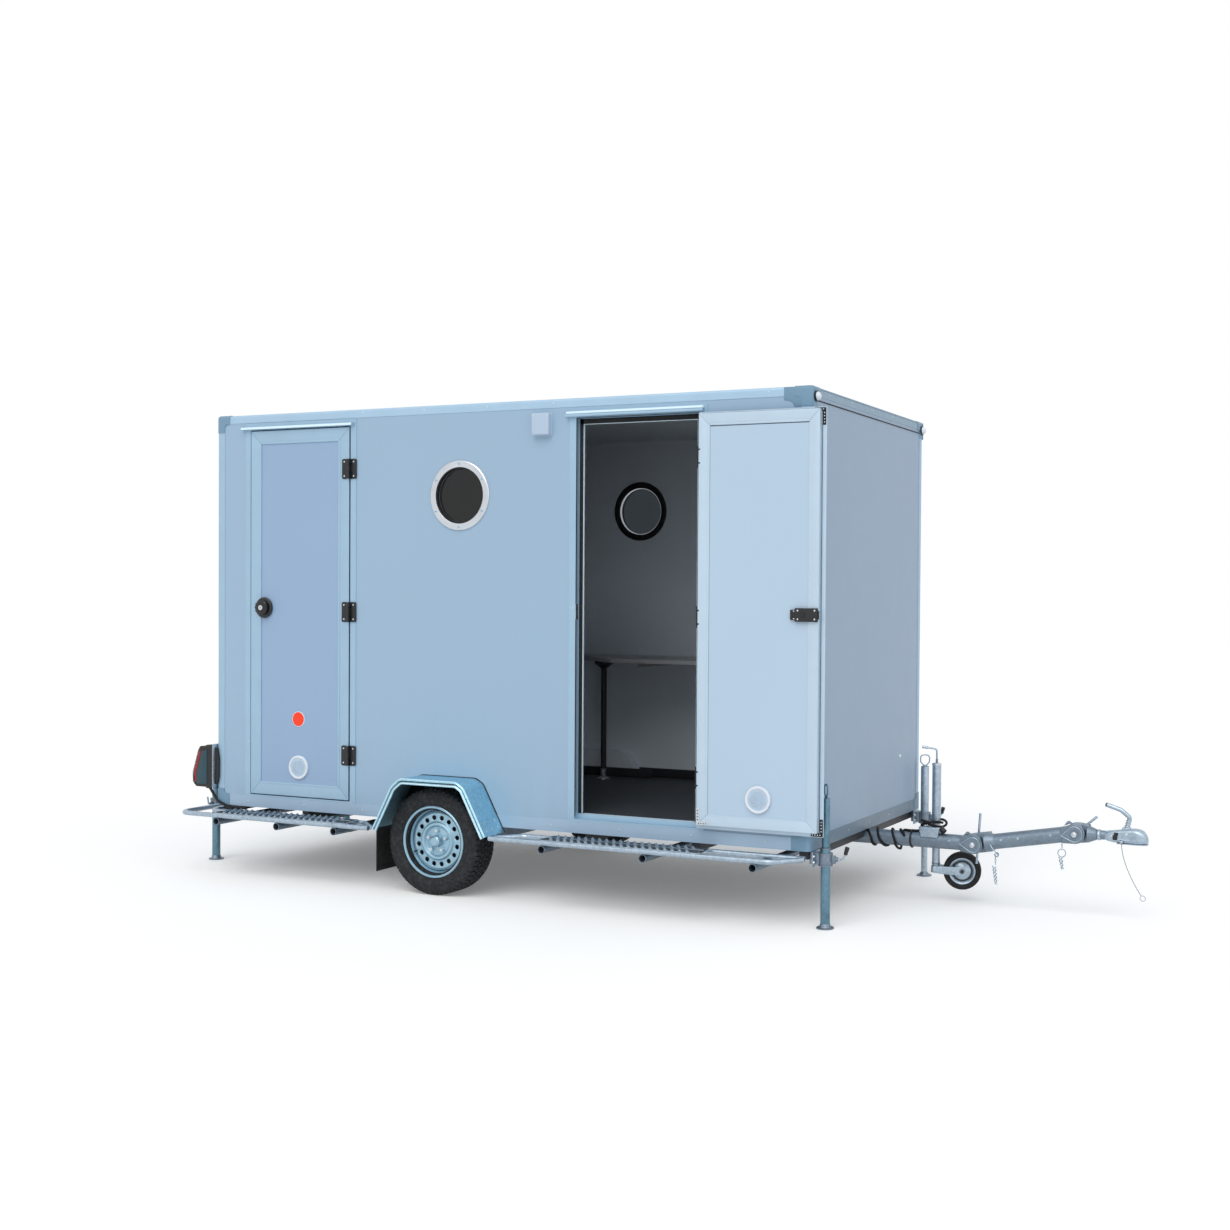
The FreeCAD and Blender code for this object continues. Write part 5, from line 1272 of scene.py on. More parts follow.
# Jockey wheel
def jockey():
    x, y = 2221.0, 90.0
    p = Piece("jockey_outer_tube", "zinc", "zinc_dull", "bright", "black")
    p.add(bm_pipe((x, y, 292), (x, y, 738), 23.8, 21.4, 44), 0)
    p.add(bm_lathe([(0, 0), (0, 25.6), (3, 26.4), (7, 26.4), (9, 24), (13, 12), (13, 0)], (x, y, 733),
                   (0, 0, 1), 44, False), 2)
    p.add(bm_rod((x, y, 744), (x, y, 766), 7, 6.2, 20), 1)
    crank = rounded([(x, y, 745), (x, y, 818), (x - 66, y - 26, 828)], 16)
    p.add(bm_tube(crank, 5.2, 14), 0)
    p.add(bm_rod((x - 44, y - 17, 825), (x - 74, y - 29, 829), 8.0, 7.2, 20), 0, 2.0)
    p.add(bm_lathe([(0, 23.8), (0, 26), (14, 26), (16, 23.8)], (x, y, 296), (0, 0, 1), 44, False), 1)
    p.done("trailer", "galvanised", "jockey_outer")

    q = Piece("jockey_clamp_cast", "zinc", "zinc_dull", "bright")
    z0, z1 = 308.0, 374.0
    q.add(bm_pipe((x, y, z0), (x, y, z1), 33.5, 24.0, 48), 1, 2.0)
    # tapered block that sits on the near side of the drawbar
    block = [(x - 46, 362), (x - 58, 416), (x + 58, 416), (x + 46, 362)]
    q.add(bm_prism(block, "xz", -44, -20), 0, 5.0, 3)
    saddle = [(x - 46, 374), (x - 52, 414), (x + 52, 414), (x + 46, 374)]
    q.add(bm_prism(saddle, "xz", -22, 62), 1, 3.0)
    q.add(bm_box(x - 30, x + 30, 38, 68, 318, 372), 1, 3.0)
    for dx in (-34, 30):
        q.add(bm_rod((x + dx, 12, 412), (x + dx, 12, 418), 15, 15, 28), 1, 1.5)
        q.add(bm_dome((x + dx, 12, 418), (0, 0, 1), 13, 9, 24, 5), 2)
    q.add(bm_rod((x - 34, 66, 430), (x + 30, 66, 430), 7, 7, 20), 1, 1.0)
    q.done("trailer", "galvanised", "galvanised_brackets")

    r = Piece("jockey_inner_tube", "zinc", "zinc_dull")
    r.add(bm_rod((x, y, 196.5), (x, y, 620), 20.8, 20.8, 44), 0)
    r.add(bm_lathe([(0, 20.8), (1, 22.5), (7, 22.5), (8, 20.8)], (x, y, 203), (0, 0, 1), 44, False), 1)
    r.done("jockey_tube", "galvanised", "jockey_inner")

    turn = math.radians(14.5)
    d = Vector((math.cos(turn), math.sin(turn), 0))
    w = Vector((-math.sin(turn), math.cos(turn), 0))
    base = Vector((x, y, 0))
    hub = base + d * 140 + Vector((0, 0, 172))
    f = Piece("jockey_fork_arms", "zinc", "zinc_dull", "black")
    f.add(bm_rod((x, y, 158), (x, y, 195.5), 27, 25, 40), 0, 2.5)
    for s in (-1, 1):
        outline = hull(disc(140, 172, 23, 24) + [(-14, 162), (-14, 194), (20, 195), (20, 156)])
        bm = bmesh.new()
        ins, outs = [], []
        for along, z in outline:
            p0 = base + d * along + Vector((0, 0, z))
            ins.append(bm.verts.new(at(*(p0 + w * s * 31.2))))
            outs.append(bm.verts.new(at(*(p0 + w * s * 36.0))))
        bm.faces.new(ins)
        bm.faces.new(outs)
        for k in range(len(ins)):
            j = (k + 1) % len(ins)
            bm.faces.new((ins[k], ins[j], outs[j], outs[k]))
        bmesh.ops.recalc_face_normals(bm, faces=bm.faces)
        f.add(bm, 0, 1.2)
        c = hub + w * s * 35.5
        f.add(bm_rod(c, c + w * s * 2.5, 16, 15, 28), 1, 0.8)
        f.add(bm_rod(c + w * s * 2, c + w * s * 7, 9.5, 8.5, 24), 2, 1.0)
    bridge = bm_box(x - 12, x + 22, y - 35, y + 35, 158, 194)
    bmesh.ops.rotate(bridge, cent=at(x, y, 0), matrix=Matrix.Rotation(turn, 3, "Z"), verts=bridge.verts)
    f.add(bridge, 0, 3.0)
    f.add(bm_rod(hub - w * 31, hub + w * 31, 6.9, 6.9, 24), 1)
    f.done("jockey_fork_body", "galvanised", "jockey_fork")

    t = Piece("jockey_wheel_tyred", "rubber", "zinc", "black")
    prof = [(-24, 70), (-25, 76), (-25, 90), (-22, 97), (-15, 100.5), (-6, 101), (6, 101), (15, 100.5),
            (22, 97), (25, 90), (25, 76), (24, 70),
            (20, 67), (-20, 67)]
    t.add(bm_lathe(prof, hub, w, 64), 0)
    for s in (-1, 1):
        face = [(s * 12, 7.05), (s * 25, 7.05), (s * 25, 15), (s * 22, 20), (s * 20, 40), (s * 16, 45),
                (s * 16, 55), (s * 22, 62), (s * 25, 66),
                (s * 25, 70), (s * 20, 70.5), (s * 12, 66)]
        t.add(bm_lathe(face, hub, w, 56), 1)
        t.add(bm_lathe([(s * 16.5, 46), (s * 17.2, 47), (s * 17.2, 54), (s * 16.5, 55)], hub, w, 56), 2)
    t.done("jockey_wheel_body", "rubber", "jockey_wheel")


jockey()


# Lead to the towing vehicle, wound on the drawbar and looped round the jockey clamp
def lead():
    p = Piece("lead_wound", "lead_black", "black")
    r = 45.6
    line = []
    # helix: a close turn, then a slanting one, a wide one that sags, one on its own
    table = [(1900, 0.25), (1909, 0.5), (1914, 0.75), (1922, 1.0), (1945, 1.25), (1975, 1.5), (2000, 1.75),
             (2004, 2.0), (2030, 2.25), (2052, 2.5),
             (2040, 2.75), (2050, 3.0), (2090, 3.2)]
    for (xa, ta), (xb, tb) in zip(table, table[1:]):
        for k in range(8):
            f = k / 8
            xx = xa + (xb - xa) * f
            tt = ta + (tb - ta) * f
            a = math.pi / 2 - 2 * math.pi * tt
            sag = 10.0 if 2.3 < tt < 2.8 else 0.0
            line.append((xx, -r * math.cos(a), 342 + r * math.sin(a) - (sag if math.sin(a) < 0 else 0)))
    p.add(bm_tube([(1868, -18, 371), (1880, -30, 378)] + line, 6.6, 12), 0)
    top = [(2060, 4, 388), (2110, -8, 387.5), (2148, 2, 388), (2160, 0, 392)]
    p.add(bm_tube(rounded([line[-1]] + top, [10, 30, 10]), 6.6, 12), 0)
    band = [(2118, y, 344 + z) for y, z in circle(45.8, 40)]
    p.add(bm_tube(band, 4.2, 10, closed=True), 1)
    knot = []
    for k in range(49):
        t = 2 * math.pi * k / 48 * 1.5
        knot.append((2221 + 66 * math.cos(t + 2.6), 52 + 58 * math.sin(t + 2.6),
                     428 + 13 * math.sin(1.6 * t)))
    p.add(bm_tube([(2160, 0, 392), (2158, 10, 404)] + knot, 6.6, 12), 0)
    p.add(bm_rod((2276, -8, 414), (2298, -18, 392), 13, 17, 28), 1, 3.0)
    p.done("trailer", "rubber", "lead", smooth=60)


lead()

# Doors
FACE_Y = -871.0
PIVOT_Y = -889.0
HINGE_Z = (715.0, 1521.0, 2322.0)
DOORS = [  # name, pivot x, gap, leaf top, open, head of the opening
    ("rear_door", -908.0, 4.0, 2555.0, False, 2530.0),
    ("front_door", 1269.0, 9.0, 2542.0, True, 2518.0),
]
LEAF_BOTTOM = 464.0
LEAF_WIDTH = 702.0
BORDER = 75.0
LOCK_REACH = 606.0
LOCK_Z = 1540.0
VENT_Z = 631.0


def swung(piece, pivot_x):
    """Turns the piece by half a turn about the hinge."""
    c = at(pivot_x, PIVOT_Y, 0)
    for v in piece.bm.verts:
        v.co.x = 2 * c.x - v.co.x
        v.co.y = 2 * c.y - v.co.y
    return piece


def bars_between(p, outer, inner, y0, y1, mat, bevel, gap=0.4):
    """Four mitred bars, a hairline apart, between an outer and an inner rectangle (x0, x1, z0, z1)."""
    (a0, a1, c0, c1), (b0, b1, d0, d1), g = outer, inner, gap
    bars = [
        [(a0 + g, c0), (a1 - g, c0), (b1 - g, d0), (b0 + g, d0)],
        [(a0 + g, c1), (a1 - g, c1), (b1 - g, d1), (b0 + g, d1)],
        [(a0, c0 + g), (a0, c1 - g), (b0, d1 - g), (b0, d0 + g)],
        [(a1, c0 + g), (a1, c1 - g), (b1, d1 - g), (b1, d0 + g)],
    ]
    for bar in bars:
        p.add(bm_prism(bar, "xz", y0, y1), mat, bevel, 2, 60)


def mitred(p, x0, x1, z0, z1, w, *rest):
    """Four mitred bars of the same width w."""
    bars_between(p, (x0, x1, z0, z1), (x0 + w, x1 - w, z0 + w, z1 - w), *rest)


def vent(p, x, y, z, way, mats=(0, 1)):
    """Round vent: raised rim, slats behind it; way is -1 or 1 along y."""
    rim_mat, dark = mats
    a = (0, way, 0)
    p.add(bm_lathe([(0, 67.4), (9.4, 67.4), (12.2, 65), (13, 61), (12, 57), (9.4, 55), (9.2, 53), (0, 53)],
                   (x, y, z), a, 64), rim_mat)
    p.add(bm_rod((x, y, z), (x, y + way * 9.3, z), 54, 54, 48), dark)
    y += way * 7.9
    for k in range(-4, 5):
        h = k * 9.0
        half_w = math.sqrt(max(0.0, 42.0 ** 2 - h * h)) - 1
        p.add(bm_box(x - half_w, x + half_w, y + way * 1.2, y + way * 3.4, z + h - 1.6, z + h + 1.6), dark,
              0.6, 1)
        if k < 4:
            h2 = h + 4.5
            half_2 = math.sqrt(max(0.0, 41.0 ** 2 - h2 * h2)) - 1
            p.add(bm_box(x - half_2, x + half_2, y + way * 1.3, y + way * 1.6, z + h2 - 1.4, z + h2 + 1.4),
                  dark)


def door(name, pivot_x, gap, top, is_open):
    """One leaf with its lock, vents and hinges; returns the hinge straps, which stay on the wall."""
    x1 = pivot_x - gap
    x0 = x1 - LEAF_WIDTH
    lip_y = FACE_Y - 4.0
    inner_y = FACE_Y + 28.0
    b = LEAF_BOTTOM

    def close(piece, slot, *replaces):
        if is_open:
            swung(piece, pivot_x)
        piece.done(name, slot, *replaces)

    leaf = Piece(name + "_leaf_frame", "leaf_bar" if is_open else "profile_z", "rubber", "bright",
                 "profile_x")
    lip_x0 = x0 + 18 if is_open else x0
    bars_between(leaf, (lip_x0, x1, b, top), (x0 + BORDER - 11, x1 - BORDER + 11, b + BORDER - 11,
                                              top - BORDER + 11), lip_y, FACE_Y, 0, 1.2)
    if is_open:
        bars_between(leaf, (x0 + 43, x1 - 13, b + 21, top - 9), (x0 + 88, x1 - 62, b + 66, top - 58),
                     FACE_Y - 0.2, inner_y, 0, 1.6)
    else:
        mitred(leaf, x0 + 13, x1 - 13, b + 6.5, top - 6.5, BORDER - 24, FACE_Y - 0.2, inner_y, 0, 1.2)
    # glazing beads on both faces
    mitred(leaf, x0 + 62, x1 - 62, b + 62, top - 62, 13.5, lip_y - 1.5, lip_y + 6, 0, 1.8)
    free = 85 if is_open else 61
    bars_between(leaf, (x0 + free, x1 - 61, b + 63, top - 57), (x0 + free + 12, x1 - 74, b + 76, top - 70),
                 inner_y - 6, inner_y - 1.0, 0, 1.8)
    # rubber behind the lip
    edge = 39 if is_open else 11
    c0, c1, z0, z1, y = x0 + edge, x1 - 11, b + edge / 2, top - 6, FACE_Y + 1
    leaf.add(bm_tube(ring_of([(c0, y, z0), (c1, y, z0), (c1, y, z1), (c0, y, z1)], 8), 1.2, 8, closed=True),
             1)
    for z in HINGE_Z:
        for dz in (-34, 34):
            screw(leaf, (x1 - 17, inner_y, z + dz), (0, 1, 0), 4.6, 1)
    # corner cleats on the inner face
    cleats = [(x1 - 14, -1, b + 22, 1, inner_y, 2), (x0 + 21, 1, b + 3, 1, FACE_Y, 1),
              (x0 + 21, 1, top - 3, -1, FACE_Y, 1)]
    for cx, way, cz, rise, base_y, plate_mat in cleats:
        hole_mat = 3 - plate_mat
        outline = [(0, 0), (62, 0), (62, 16), (16, 16), (16, 84), (0, 84)]
        cleat = [(cx + way * across, cz + rise * along) for across, along in outline]
        leaf.add(bm_prism(cleat, "xz", base_y, base_y + 2.2), plate_mat, 0.6)
        for k in range(4):
            for hx, hz in ((cx + way * (14 + 13 * k), cz + rise * 8),
                           (cx + way * 8, cz + rise * (26 + 15 * k))):
                leaf.add(bm_rod((hx, base_y + 2, hz), (hx, base_y + 2.5, hz), 3.2, 3.2, 14), hole_mat)
    close(leaf, "profile", name + "_leaf")

    lock_x, lock_z = pivot_x - LOCK_REACH, LOCK_Z
    knob = Piece(name + "_lock_set", "black", "black_gloss", "bright")
    y = lip_y
    knob.add(bm_lathe([(0, 0), (0, 58), (3, 60), (8, 59), (12, 54), (13.5, 46), (13.5, 0)],
                      (lock_x, y, lock_z), (0, -1, 0), 56, False), 0)
    depth = 36.0 if not is_open else 17.5
    if is_open:
        knob.add(bm_lathe([(12, 0), (12, 42), (16, 40), (17.5, 34), (17.5, 0)], (lock_x, y, lock_z),
                          (0, -1, 0), 48, False), 1)
    else:
        knob.add(bm_lathe([(12, 0), (12, 30), (18, 30), (22, 40), (26, 44), (32, 43), (35.5, 38), (36, 24),
                           (36, 0)],
                          (lock_x, y, lock_z), (0, -1, 0), 48, False), 1)
        for k in range(12):
            a = 2 * math.pi * k / 12
            gx, gz = lock_x + 43 * math.cos(a), lock_z + 43 * math.sin(a)
            knob.add(bm_rod((gx, y - 24, gz), (gx, y - 34, gz), 3.0, 2.0, 10), 1)
    knob.add(bm_rod((lock_x, y - depth + 1, lock_z), (lock_x, y - depth - 1.2, lock_z), 15, 14, 32), 2, 1.0)
    knob.add(bm_box(lock_x - 1.4, lock_x + 1.4, y - depth - 0.8, y - depth - 1.6, lock_z - 6, lock_z + 6), 0)
    # bolt lock on the inner face
    bx0, bx1, bz0, bz1 = lock_x - 62, lock_x + 82, lock_z - 34, lock_z + 32
    knob.add(bm_box(bx0, bx1 - 26, inner_y, inner_y + 16, bz0, bz1), 0, 4.5, 3)
    knob.add(bm_box(bx0 - 6, bx0 + 6, inner_y, inner_y + 9, bz0 + 12, bz1 - 12), 0, 2.0)
    knob.add(bm_box(bx1 - 30, bx1, inner_y, inner_y + 10, bz0 + 8, bz1 - 8), 0, 3.0)
    knob.add(bm_box(bx1 - 30, bx1 - 8, inner_y + 8, inner_y + 14, bz0 + 22, bz1 - 22), 1, 3.0)
    knob.add(bm_rod((lock_x + 14, inner_y + 15, lock_z - 1), (lock_x + 14, inner_y + 19.5, lock_z - 1), 13,
                    11, 28), 1, 1.5)
    for sx in (bx0 + 14, bx1 - 42):
        for sz in (bz0 + 12, bz1 - 12):
            screw(knob, (sx, inner_y + 15.6, sz), (0, 1, 0), 4.6, 2)
    for sz in (bz0 + 15, bz1 - 15):
        screw(knob, (bx1 - 20, inner_y + 9.6, sz), (0, 1, 0), 3.6, 2)
    close(knob, "black_plastic", name + "_lock")

    v = Piece(name + "_vent_covers", "white_plastic", "vent_grille")
    vx = (x0 + x1) / 2
    vent(v, vx, FACE_Y, VENT_Z, -1)
    vent(v, vx, inner_y, VENT_Z, 1)
    close(v, "white_plastic")

    h = Piece(name + "_hinge_leaves", "black", "bright")
    f = Piece(name + "_hinge_straps", "black", "bright")
    for z in HINGE_Z:
        z0 = z - 56.0
        third = 112.0 / 3
        plate = [(x1 - 46, z0 + 6), (x1 - 40, z0), (pivot_x - 4, z0), (pivot_x - 4, z0 + 112),
                 (x1 - 40, z0 + 112), (x1 - 46, z0 + 106)]
        h.add(bm_prism(plate, "xz", lip_y, lip_y - 5.6), 0, 1.6)
        strap = [(pivot_x + 4, z0), (pivot_x + 40, z0), (pivot_x + 46, z0 + 6), (pivot_x + 46, z0 + 106),
                 (pivot_x + 40, z0 + 112), (pivot_x + 4, z0 + 112)]
        f.add(bm_prism(strap, "xz", FACE_Y, FACE_Y - 5.6), 0, 1.6)
        for k, p in ((0, h), (1, f), (2, h)):
            p.add(bm_rod((pivot_x, PIVOT_Y, z0 + k * third + 0.4),
                         (pivot_x, PIVOT_Y, z0 + (k + 1) * third - 0.4), 7.9, 7.9, 28), 0, 0.9)
            web = (pivot_x - 9, pivot_x - 1) if p is h else (pivot_x + 1, pivot_x + 9)
            p.add(bm_box(web[0], web[1], PIVOT_Y + 2, (lip_y if p is h else FACE_Y) - 1,
                         z0 + k * third + 0.6, z0 + (k + 1) * third - 0.6), 0, 0.8)
        for dz in (16, 96):
            screw(h, (x1 - 30 if gap < 6 else x1 - 28, lip_y - 5.6, z0 + dz), (0, -1, 0), 5.0)
            screw(f, (pivot_x + 27, FACE_Y - 5.6, z0 + dz), (0, -1, 0), 5.0)
        for e in (z0 - 1.5, z0 + 112):
            f.add(bm_rod((pivot_x, PIVOT_Y, e), (pivot_x, PIVOT_Y, e + 1.5), 4.5, 4.5, 20), 1)
    close(h, "black_plastic", name + "_hinges")
    return f


straps = [door(*row[:5]) for row in DOORS]
joined = Piece("door_hinge_straps", "black", "bright")
for s in straps:
    tmp = bpy.data.meshes.new("tmp")
    s.bm.to_mesh(tmp)
    s.bm.free()
    joined.bm.from_mesh(tmp)
    bpy.data.meshes.remove(tmp)
joined.done("trailer", "black_plastic", "hinge_plates")


# Red disc with a pale edge on the rear door
def red_disc():
    p = Piece("red_disc", "red", "white_plastic")
    p.add(bm_lathe([(0, 0), (0, 40.5), (2.2, 40.5), (3.4, 38), (3.8, 30), (4, 0)], (-1268, -871, 906),
                   (0, -1, 0), 56, False), 0)
    p.add(bm_lathe([(0, 40.5), (3.2, 40.5), (3.2, 42.8), (2.0, 44), (0, 44)], (-1268, -871, 906),
                   (0, -1, 0), 56), 1)
    p.done("rear_door", "lens")


red_disc()


# Seals round the doorways, inner lining of the jambs
def doorway_seals():
    p = Piece("doorway_seals", "rubber", "profile_z", "bright", "drip")
    for name, pivot_x, gap, top, is_open, head in DOORS:
        x1 = pivot_x - gap
        x0 = x1 - LEAF_WIDTH
        if is_open:
            p.add(bm_box(x0 - 58, x1 + 30, -893, -870, top + 25.5, top + 38), 3, 4.0, 3)
        else:
            p.add(bm_box(x0 - 60, x1 + 28, -896.4, -894.5, top + 10, top + 23), 3, 0.8)
        if is_open:
            # black seal on the stop, a strip of very pale paint inside it as a painted highlight on the stop's edge,
            # and a thin line at the face
            for ja, jb, edge in ((x0 - 3, x0 + 19, 1), (x1 - 19, x1 + 3, -1)):
                p.add(bm_box(ja, jb, -839.5, -836.5, 484, top + 3), 0, 1.0)
                stop = jb if edge > 0 else ja
                p.add(bm_box(stop - 0.5, stop + edge * 2.2, -838.5, -827.5, 484, head + 6), 3, 0.5)
            p.add(bm_box(x0 - 3, x1 + 3, -839.5, -836.5, head, top + 3), 0, 1.0)
            p.add(bm_box(x0 + 19, x1 - 19, -838.5, -827.5, head - 2.2, head + 0.5), 3, 0.5)
            p.add(bm_box(x0 - 5, x0 - 2.8, -870.5, -866.5, 470, top + 3), 0, 0.4)
            p.add(bm_box(x0 - 5, x1 + 5, -870.5, -866.5, top + 2.8, top + 5), 0, 0.4)
            # keep in the jamb on the lock side, threshold plate
            p.add(bm_box(x0 - 5, x0 - 7.6, -870, -846, 1500, 1580), 2, 0.8)
            p.add(bm_box(x0 + 24, x1 - 24, -836.8, -829, 482, 484.5), 2, 1.0)
            for k in range(2):
                p.add(bm_box(x0 + 34, x1 - 34, -835.4 + 3 * k, -834 + 3 * k, 484.5, 485.8), 1, 0.4)
        for z in (700, 1500, 2300):
            for xx in (x0 - 24, x1 + 24):
                if abs(xx - pivot_x) < 60 and any(abs(z - hz) < 70 for hz in HINGE_Z):
                    continue
                screw(p, (xx, FACE_Y, z + 60), (0, -1, 0), 3.6, 2)
    p.done("trailer", "rubber")


doorway_seals()


# Portholes: flanged rings with six screws, black rings inside
def portholes():
    p = Piece("porthole_flanges", "bright", "rubber", "profile_x", "reveal")
    for side, x in ((-1, -175.0), (1, 22.0)):
        z = 2160.0
        wall, inner = side * 868.0, side * 828.0
        out = (0, side, 0)
        p.add(bm_lathe([(0, 189), (3, 190), (7, 188), (9.6, 183), (10, 176), (9.2, 168), (7.4, 160),
                        (6.5, 153), (4.5, 149.5), (0, 147.4),
                        (-40, 147.4), (-40, 149.6), (-1, 149.6), (-1, 189)], (x, wall, z), out, 96), 0)
        p.add(bm_lathe([(6.0, 146.5), (7.5, 149), (6.8, 152.5), (3, 150), (-16, 147), (-16, 144.6),
                        (3, 144.6)], (x, wall, z), out, 96), 1)
        p.add(bm_lathe([(0, 186), (4, 185.6), (7.6, 180), (8, 168), (6, 156), (2, 148), (-10, 147),
                        (-10, 150), (0, 150)], (x, inner, z), (0, -side, 0), 96), 1)
        # pale sleeve in the glowing reveal material: painted light
        p.add(bm_lathe([(-3, 144.2), (-19, 144.2), (-19, 146.8), (-3, 146.8)], (x, inner, z), (0, -side, 0),
                       96), 3)
        for k in range(6):
            a = 2 * math.pi * (k + 0.5) / 6
            c = (x + 171 * math.cos(a), wall + side * 9.4, z + 171 * math.sin(a))
            p.add(bm_rod((c[0], c[1] - side * 1.2, c[2]), (c[0], c[1] + side * 0.6, c[2]), 8.5, 8.0, 24), 2)
            p.add(bm_dome((c[0], c[1] + side * 0.4, c[2]), out, 6.2, 2.6, 18, 3), 2)
            p.add(bm_box(c[0] - 4.5, c[0] + 4.5, c[1] + side * 2.2, c[1] + side * 3.2, c[2] - 0.8,
                         c[2] + 0.8), 1)
    p.done("trailer", "profile", "porthole_rings", smooth=40)


portholes()


# Mudflaps
def mudflaps():
    p = Piece("mudflaps_ribbed", "rubber", "bright")
    x0, x1 = -640.0, -634.0
    for s in (-1, 1):
        y0, y1 = s * 976.0, s * 785.0
        p.add(bm_box(x0, x1, y0, y1, 103, 383), 0, 2.5)
        for z in (116, 124, 132):
            p.add(bm_box(x0 - 1.2, x1 + 1.2, y0 - s * 8, y1 + s * 8, z, z + 3), 0, 1.0)
        p.add(bm_box(x0 - 2, x1 + 2, y0 - s * 3, y1 + s * 3, 352, 372), 1, 1.0)
        for yy in (y0 - s * 22, (y0 + y1) / 2, y1 + s * 22):
            p.add(bm_dome((x0 - 2, yy, 362), (-1, 0, 0), 6, 3.5, 16, 3), 1)
            p.add(bm_dome((x1 + 2, yy, 362), (1, 0, 0), 6, 3.5, 16, 3), 1)
    p.done("trailer", "rubber", "mudflaps")


mudflaps()


# Cabin: seams on the roof, rivets, skirting, corner profile of the rear room
def cabin_details():
    p = Piece("cabin_rivets_and_seams", "profile_x", "profile_z", "bright", "dark_steel", "rubber", "casting")
    arm = [(1722, 2650.8), (1877.5, 2650.8), (1877.5, 2554), (1778, 2554), (1767, 2574), (1750, 2586),
           (1722, 2588)]
    for s in (-1, 1):
        p.add(bm_prism(arm, "xz", s * 868, s * 871.6), 5, 1.0)
    p.add(bm_box(1874.5, 1876.6, -806, 806, 2583, 2588.5), 4, 0.6)
    p.add(bm_box(1874.5, 1877.2, -806, 806, 2643, 2649), 0, 0.8)
    top = 2648.0
    for x in (-625, 625):
        p.add(bm_box(x - 22, x + 22, -826, 826, top - 0.5, top + 2.5), 0, 1.0)
        for k in range(17):
            p.add(bm_dome((x + (12 if k % 2 else -12), -780 + k * 97.5, top + 2.3), (0, 0, 1), 4.5, 1.8, 12,
                          3), 2)
    bead = [(-1828, -823), (1828, -823), (1828, 823), (-1828, 823)]
    p.add(bm_tube(ring_of([(x, y, top) for x, y in bead], 20), 4.0, 8, closed=True), 4)
    p.add(bm_dome((1873, 513, 724), (1, 0, 0), 11, 6, 20, 4), 2)
    # rivets along the rails
    for s in (-1, 1):
        for k in range(9):
            x = -1640 + k * 410
            for z in (416, 2630):
                if s < 0 and z > 1000 and (-1690 < x < -850 or 480 < x < 1310):
                    continue
                if z < 1000 and -680 < x < 160:
                    continue
                p.add(bm_dome((x, s * 869.8, z), (0, s, 0), 4.2, 1.8, 12, 3), 2)
    for s in (-1, 1):
        for k in range(5):
            for z in (416, 2630):
                p.add(bm_dome((s * 1874.8, -640 + 320 * k, z), (s, 0, 0), 4.2, 1.8, 12, 3), 2)
    # inner skirting
    for x0, x1, y0, y1, bevel in ((-1832, 1832, 824, 828, 1.5), (-640, 158, 736, 741.5, 1.0),
                                  (-1832, -838, 40, 44, 1.5),
                                  (1829, 1833, -826, 826, 1.5), (-1833, -1829, 44, 824, 1.5),
                                  (-800, -796, -640, 38, 1.5)):
        p.add(bm_box(x0, x1, y0, y1, 475, 532), 3, bevel)
    # bright angle on the corner of the rear room
    p.add(bm_box(-836, -797.5, 40, 42.5, 475, 2603), 1, 0.8)
    p.add(bm_box(-800, -797.5, 4, 42.5, 475, 2603), 1, 0.8)
    p.done("trailer", "profile")
    t = Piece("table_edging", "table", "bright", "rubber")
    edge = [(1832, 270), (130, 270), (-400, 700), (-400, 826)]
    for (xa, ya), (xb, yb) in zip(edge, edge[1:]):
        d = Vector((xb - xa, yb - ya)).normalized()
        nrm = Vector((d.y, -d.x))
        if nrm.x + nrm.y > 0:
            nrm = -nrm
        quad = [(xa, ya), (xb, yb), (xb + nrm.x * 2.5, yb + nrm.y * 2.5),
                (xa + nrm.x * 2.5, ya + nrm.y * 2.5)]
        t.add(bm_prism(quad, "xy", 1220.5, 1244.5), 0, 0.8)
    for x in (300, 1000, 1650):
        t.add(bm_box(x - 12, x + 12, 300, 826, 1196, 1219.8), 0, 2.0)
    t.done("trailer", "table")
    leg = Piece("table_leg_tube", "dark_steel", "bright")
    leg.add(bm_lathe([(0, 0), (0, 17), (690, 17), (706, 34), (724, 58), (745, 60), (745, 0)],
                     (-108, 600, 475.2), (0, 0, 1), 40, False), 0)
    leg.add(bm_lathe([(0, 17.2), (0, 46), (4, 46), (10, 24), (14, 19), (62, 19), (64, 17.2)],
                     (-108, 600, 475.4), (0, 0, 1), 40), 1)
    leg.done("trailer", "table", "table_leg")


cabin_details()


# Floor, background and light
floor_mesh = bpy.data.meshes.new("ground")
half = 45.0
floor_mesh.from_pydata([(-half, -half, 0), (half, -half, 0), (half, half, 0), (-half, half, 0)], [],
                       [(0, 1, 2, 3)])
ground = bpy.data.objects.new("ground", floor_mesh)
scene.collection.objects.link(ground)
g = bpy.data.materials.new("ground")
g.use_nodes = True
t = g.node_tree
t.nodes.clear()
out = t.nodes.new("ShaderNodeOutputMaterial")
diffuse = t.nodes.new("ShaderNodeBsdfDiffuse")
diffuse.inputs["Color"].default_value = (0.96, 0.95, 0.94, 1.0)
glow = t.nodes.new("ShaderNodeEmission")
both = t.nodes.new("ShaderNodeAddShader")
path = t.nodes.new("ShaderNodeLightPath")


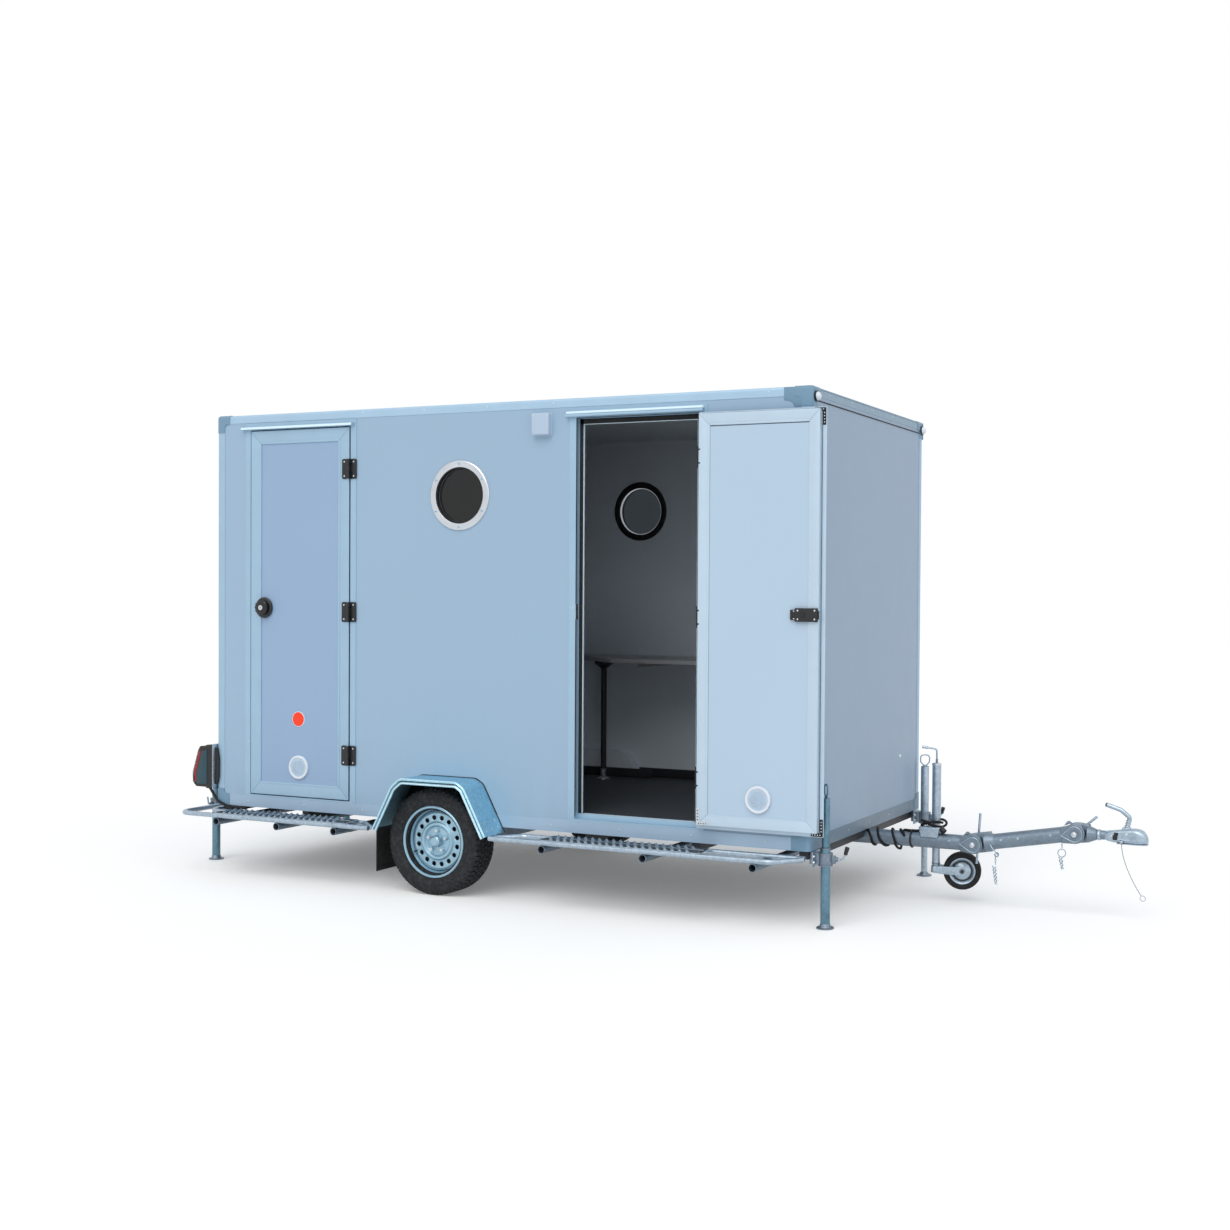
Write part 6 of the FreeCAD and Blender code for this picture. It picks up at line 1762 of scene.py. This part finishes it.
def any_ray(tree, path):
    """1 for the rays that the camera sees straight, in a mirror or through glass."""
    total = None
    for name in ("Is Camera Ray", "Is Glossy Ray", "Is Transmission Ray"):
        if total is None:
            total = path.outputs[name]
            continue
        m = tree.nodes.new("ShaderNodeMath")
        m.operation = "ADD"
        m.use_clamp = True
        tree.links.new(total, m.inputs[0])
        tree.links.new(path.outputs[name], m.inputs[1])
        total = m.outputs[0]
    return total


seen = any_ray(t, path)
lift = t.nodes.new("ShaderNodeMath")
lift.operation = "MULTIPLY"
lift.inputs[1].default_value = 0.15
t.links.new(seen, lift.inputs[0])
t.links.new(lift.outputs[0], glow.inputs["Strength"])
t.links.new(diffuse.outputs[0], both.inputs[0])
t.links.new(glow.outputs[0], both.inputs[1])
t.links.new(both.outputs[0], out.inputs[0])
floor_mesh.materials.append(g)

world = bpy.data.worlds.new("soft_sky")
scene.world = world
world.use_nodes = True
w = world.node_tree
w.nodes.clear()
w_out = w.nodes.new("ShaderNodeOutputWorld")
w_path = w.nodes.new("ShaderNodeLightPath")
w_mix = w.nodes.new("ShaderNodeMixShader")
lit = w.nodes.new("ShaderNodeBackground")
lit.inputs["Color"].default_value = (0.92, 0.96, 1.0, 1.0)
lit.inputs["Strength"].default_value = 0.62
white = w.nodes.new("ShaderNodeBackground")
white.inputs["Color"].default_value = (1.0, 1.0, 1.0, 1.0)
white.inputs["Strength"].default_value = 1.0
w.links.new(any_ray(w, w_path), w_mix.inputs[0])
w.links.new(lit.outputs[0], w_mix.inputs[1])
w.links.new(white.outputs[0], w_mix.inputs[2])
w.links.new(w_mix.outputs[0], w_out.inputs[0])


def sun(name, strength, direction, angle, colour=(1.0, 1.0, 1.0)):
    data = bpy.data.lights.new(name, "SUN")
    data.energy = strength
    data.angle = math.radians(angle)
    data.color = colour
    lamp = bpy.data.objects.new(name, data)
    scene.collection.objects.link(lamp)
    lamp.rotation_mode = "QUATERNION"
    lamp.rotation_quaternion = Vector(direction).normalized().to_track_quat("-Z", "Y")


sun("key", 1.35, (-0.10, 0.75, -0.85), 50.0, (1.0, 0.99, 0.97))
sun("fill", 0.35, (-0.9, 0.3, -0.35), 60.0)
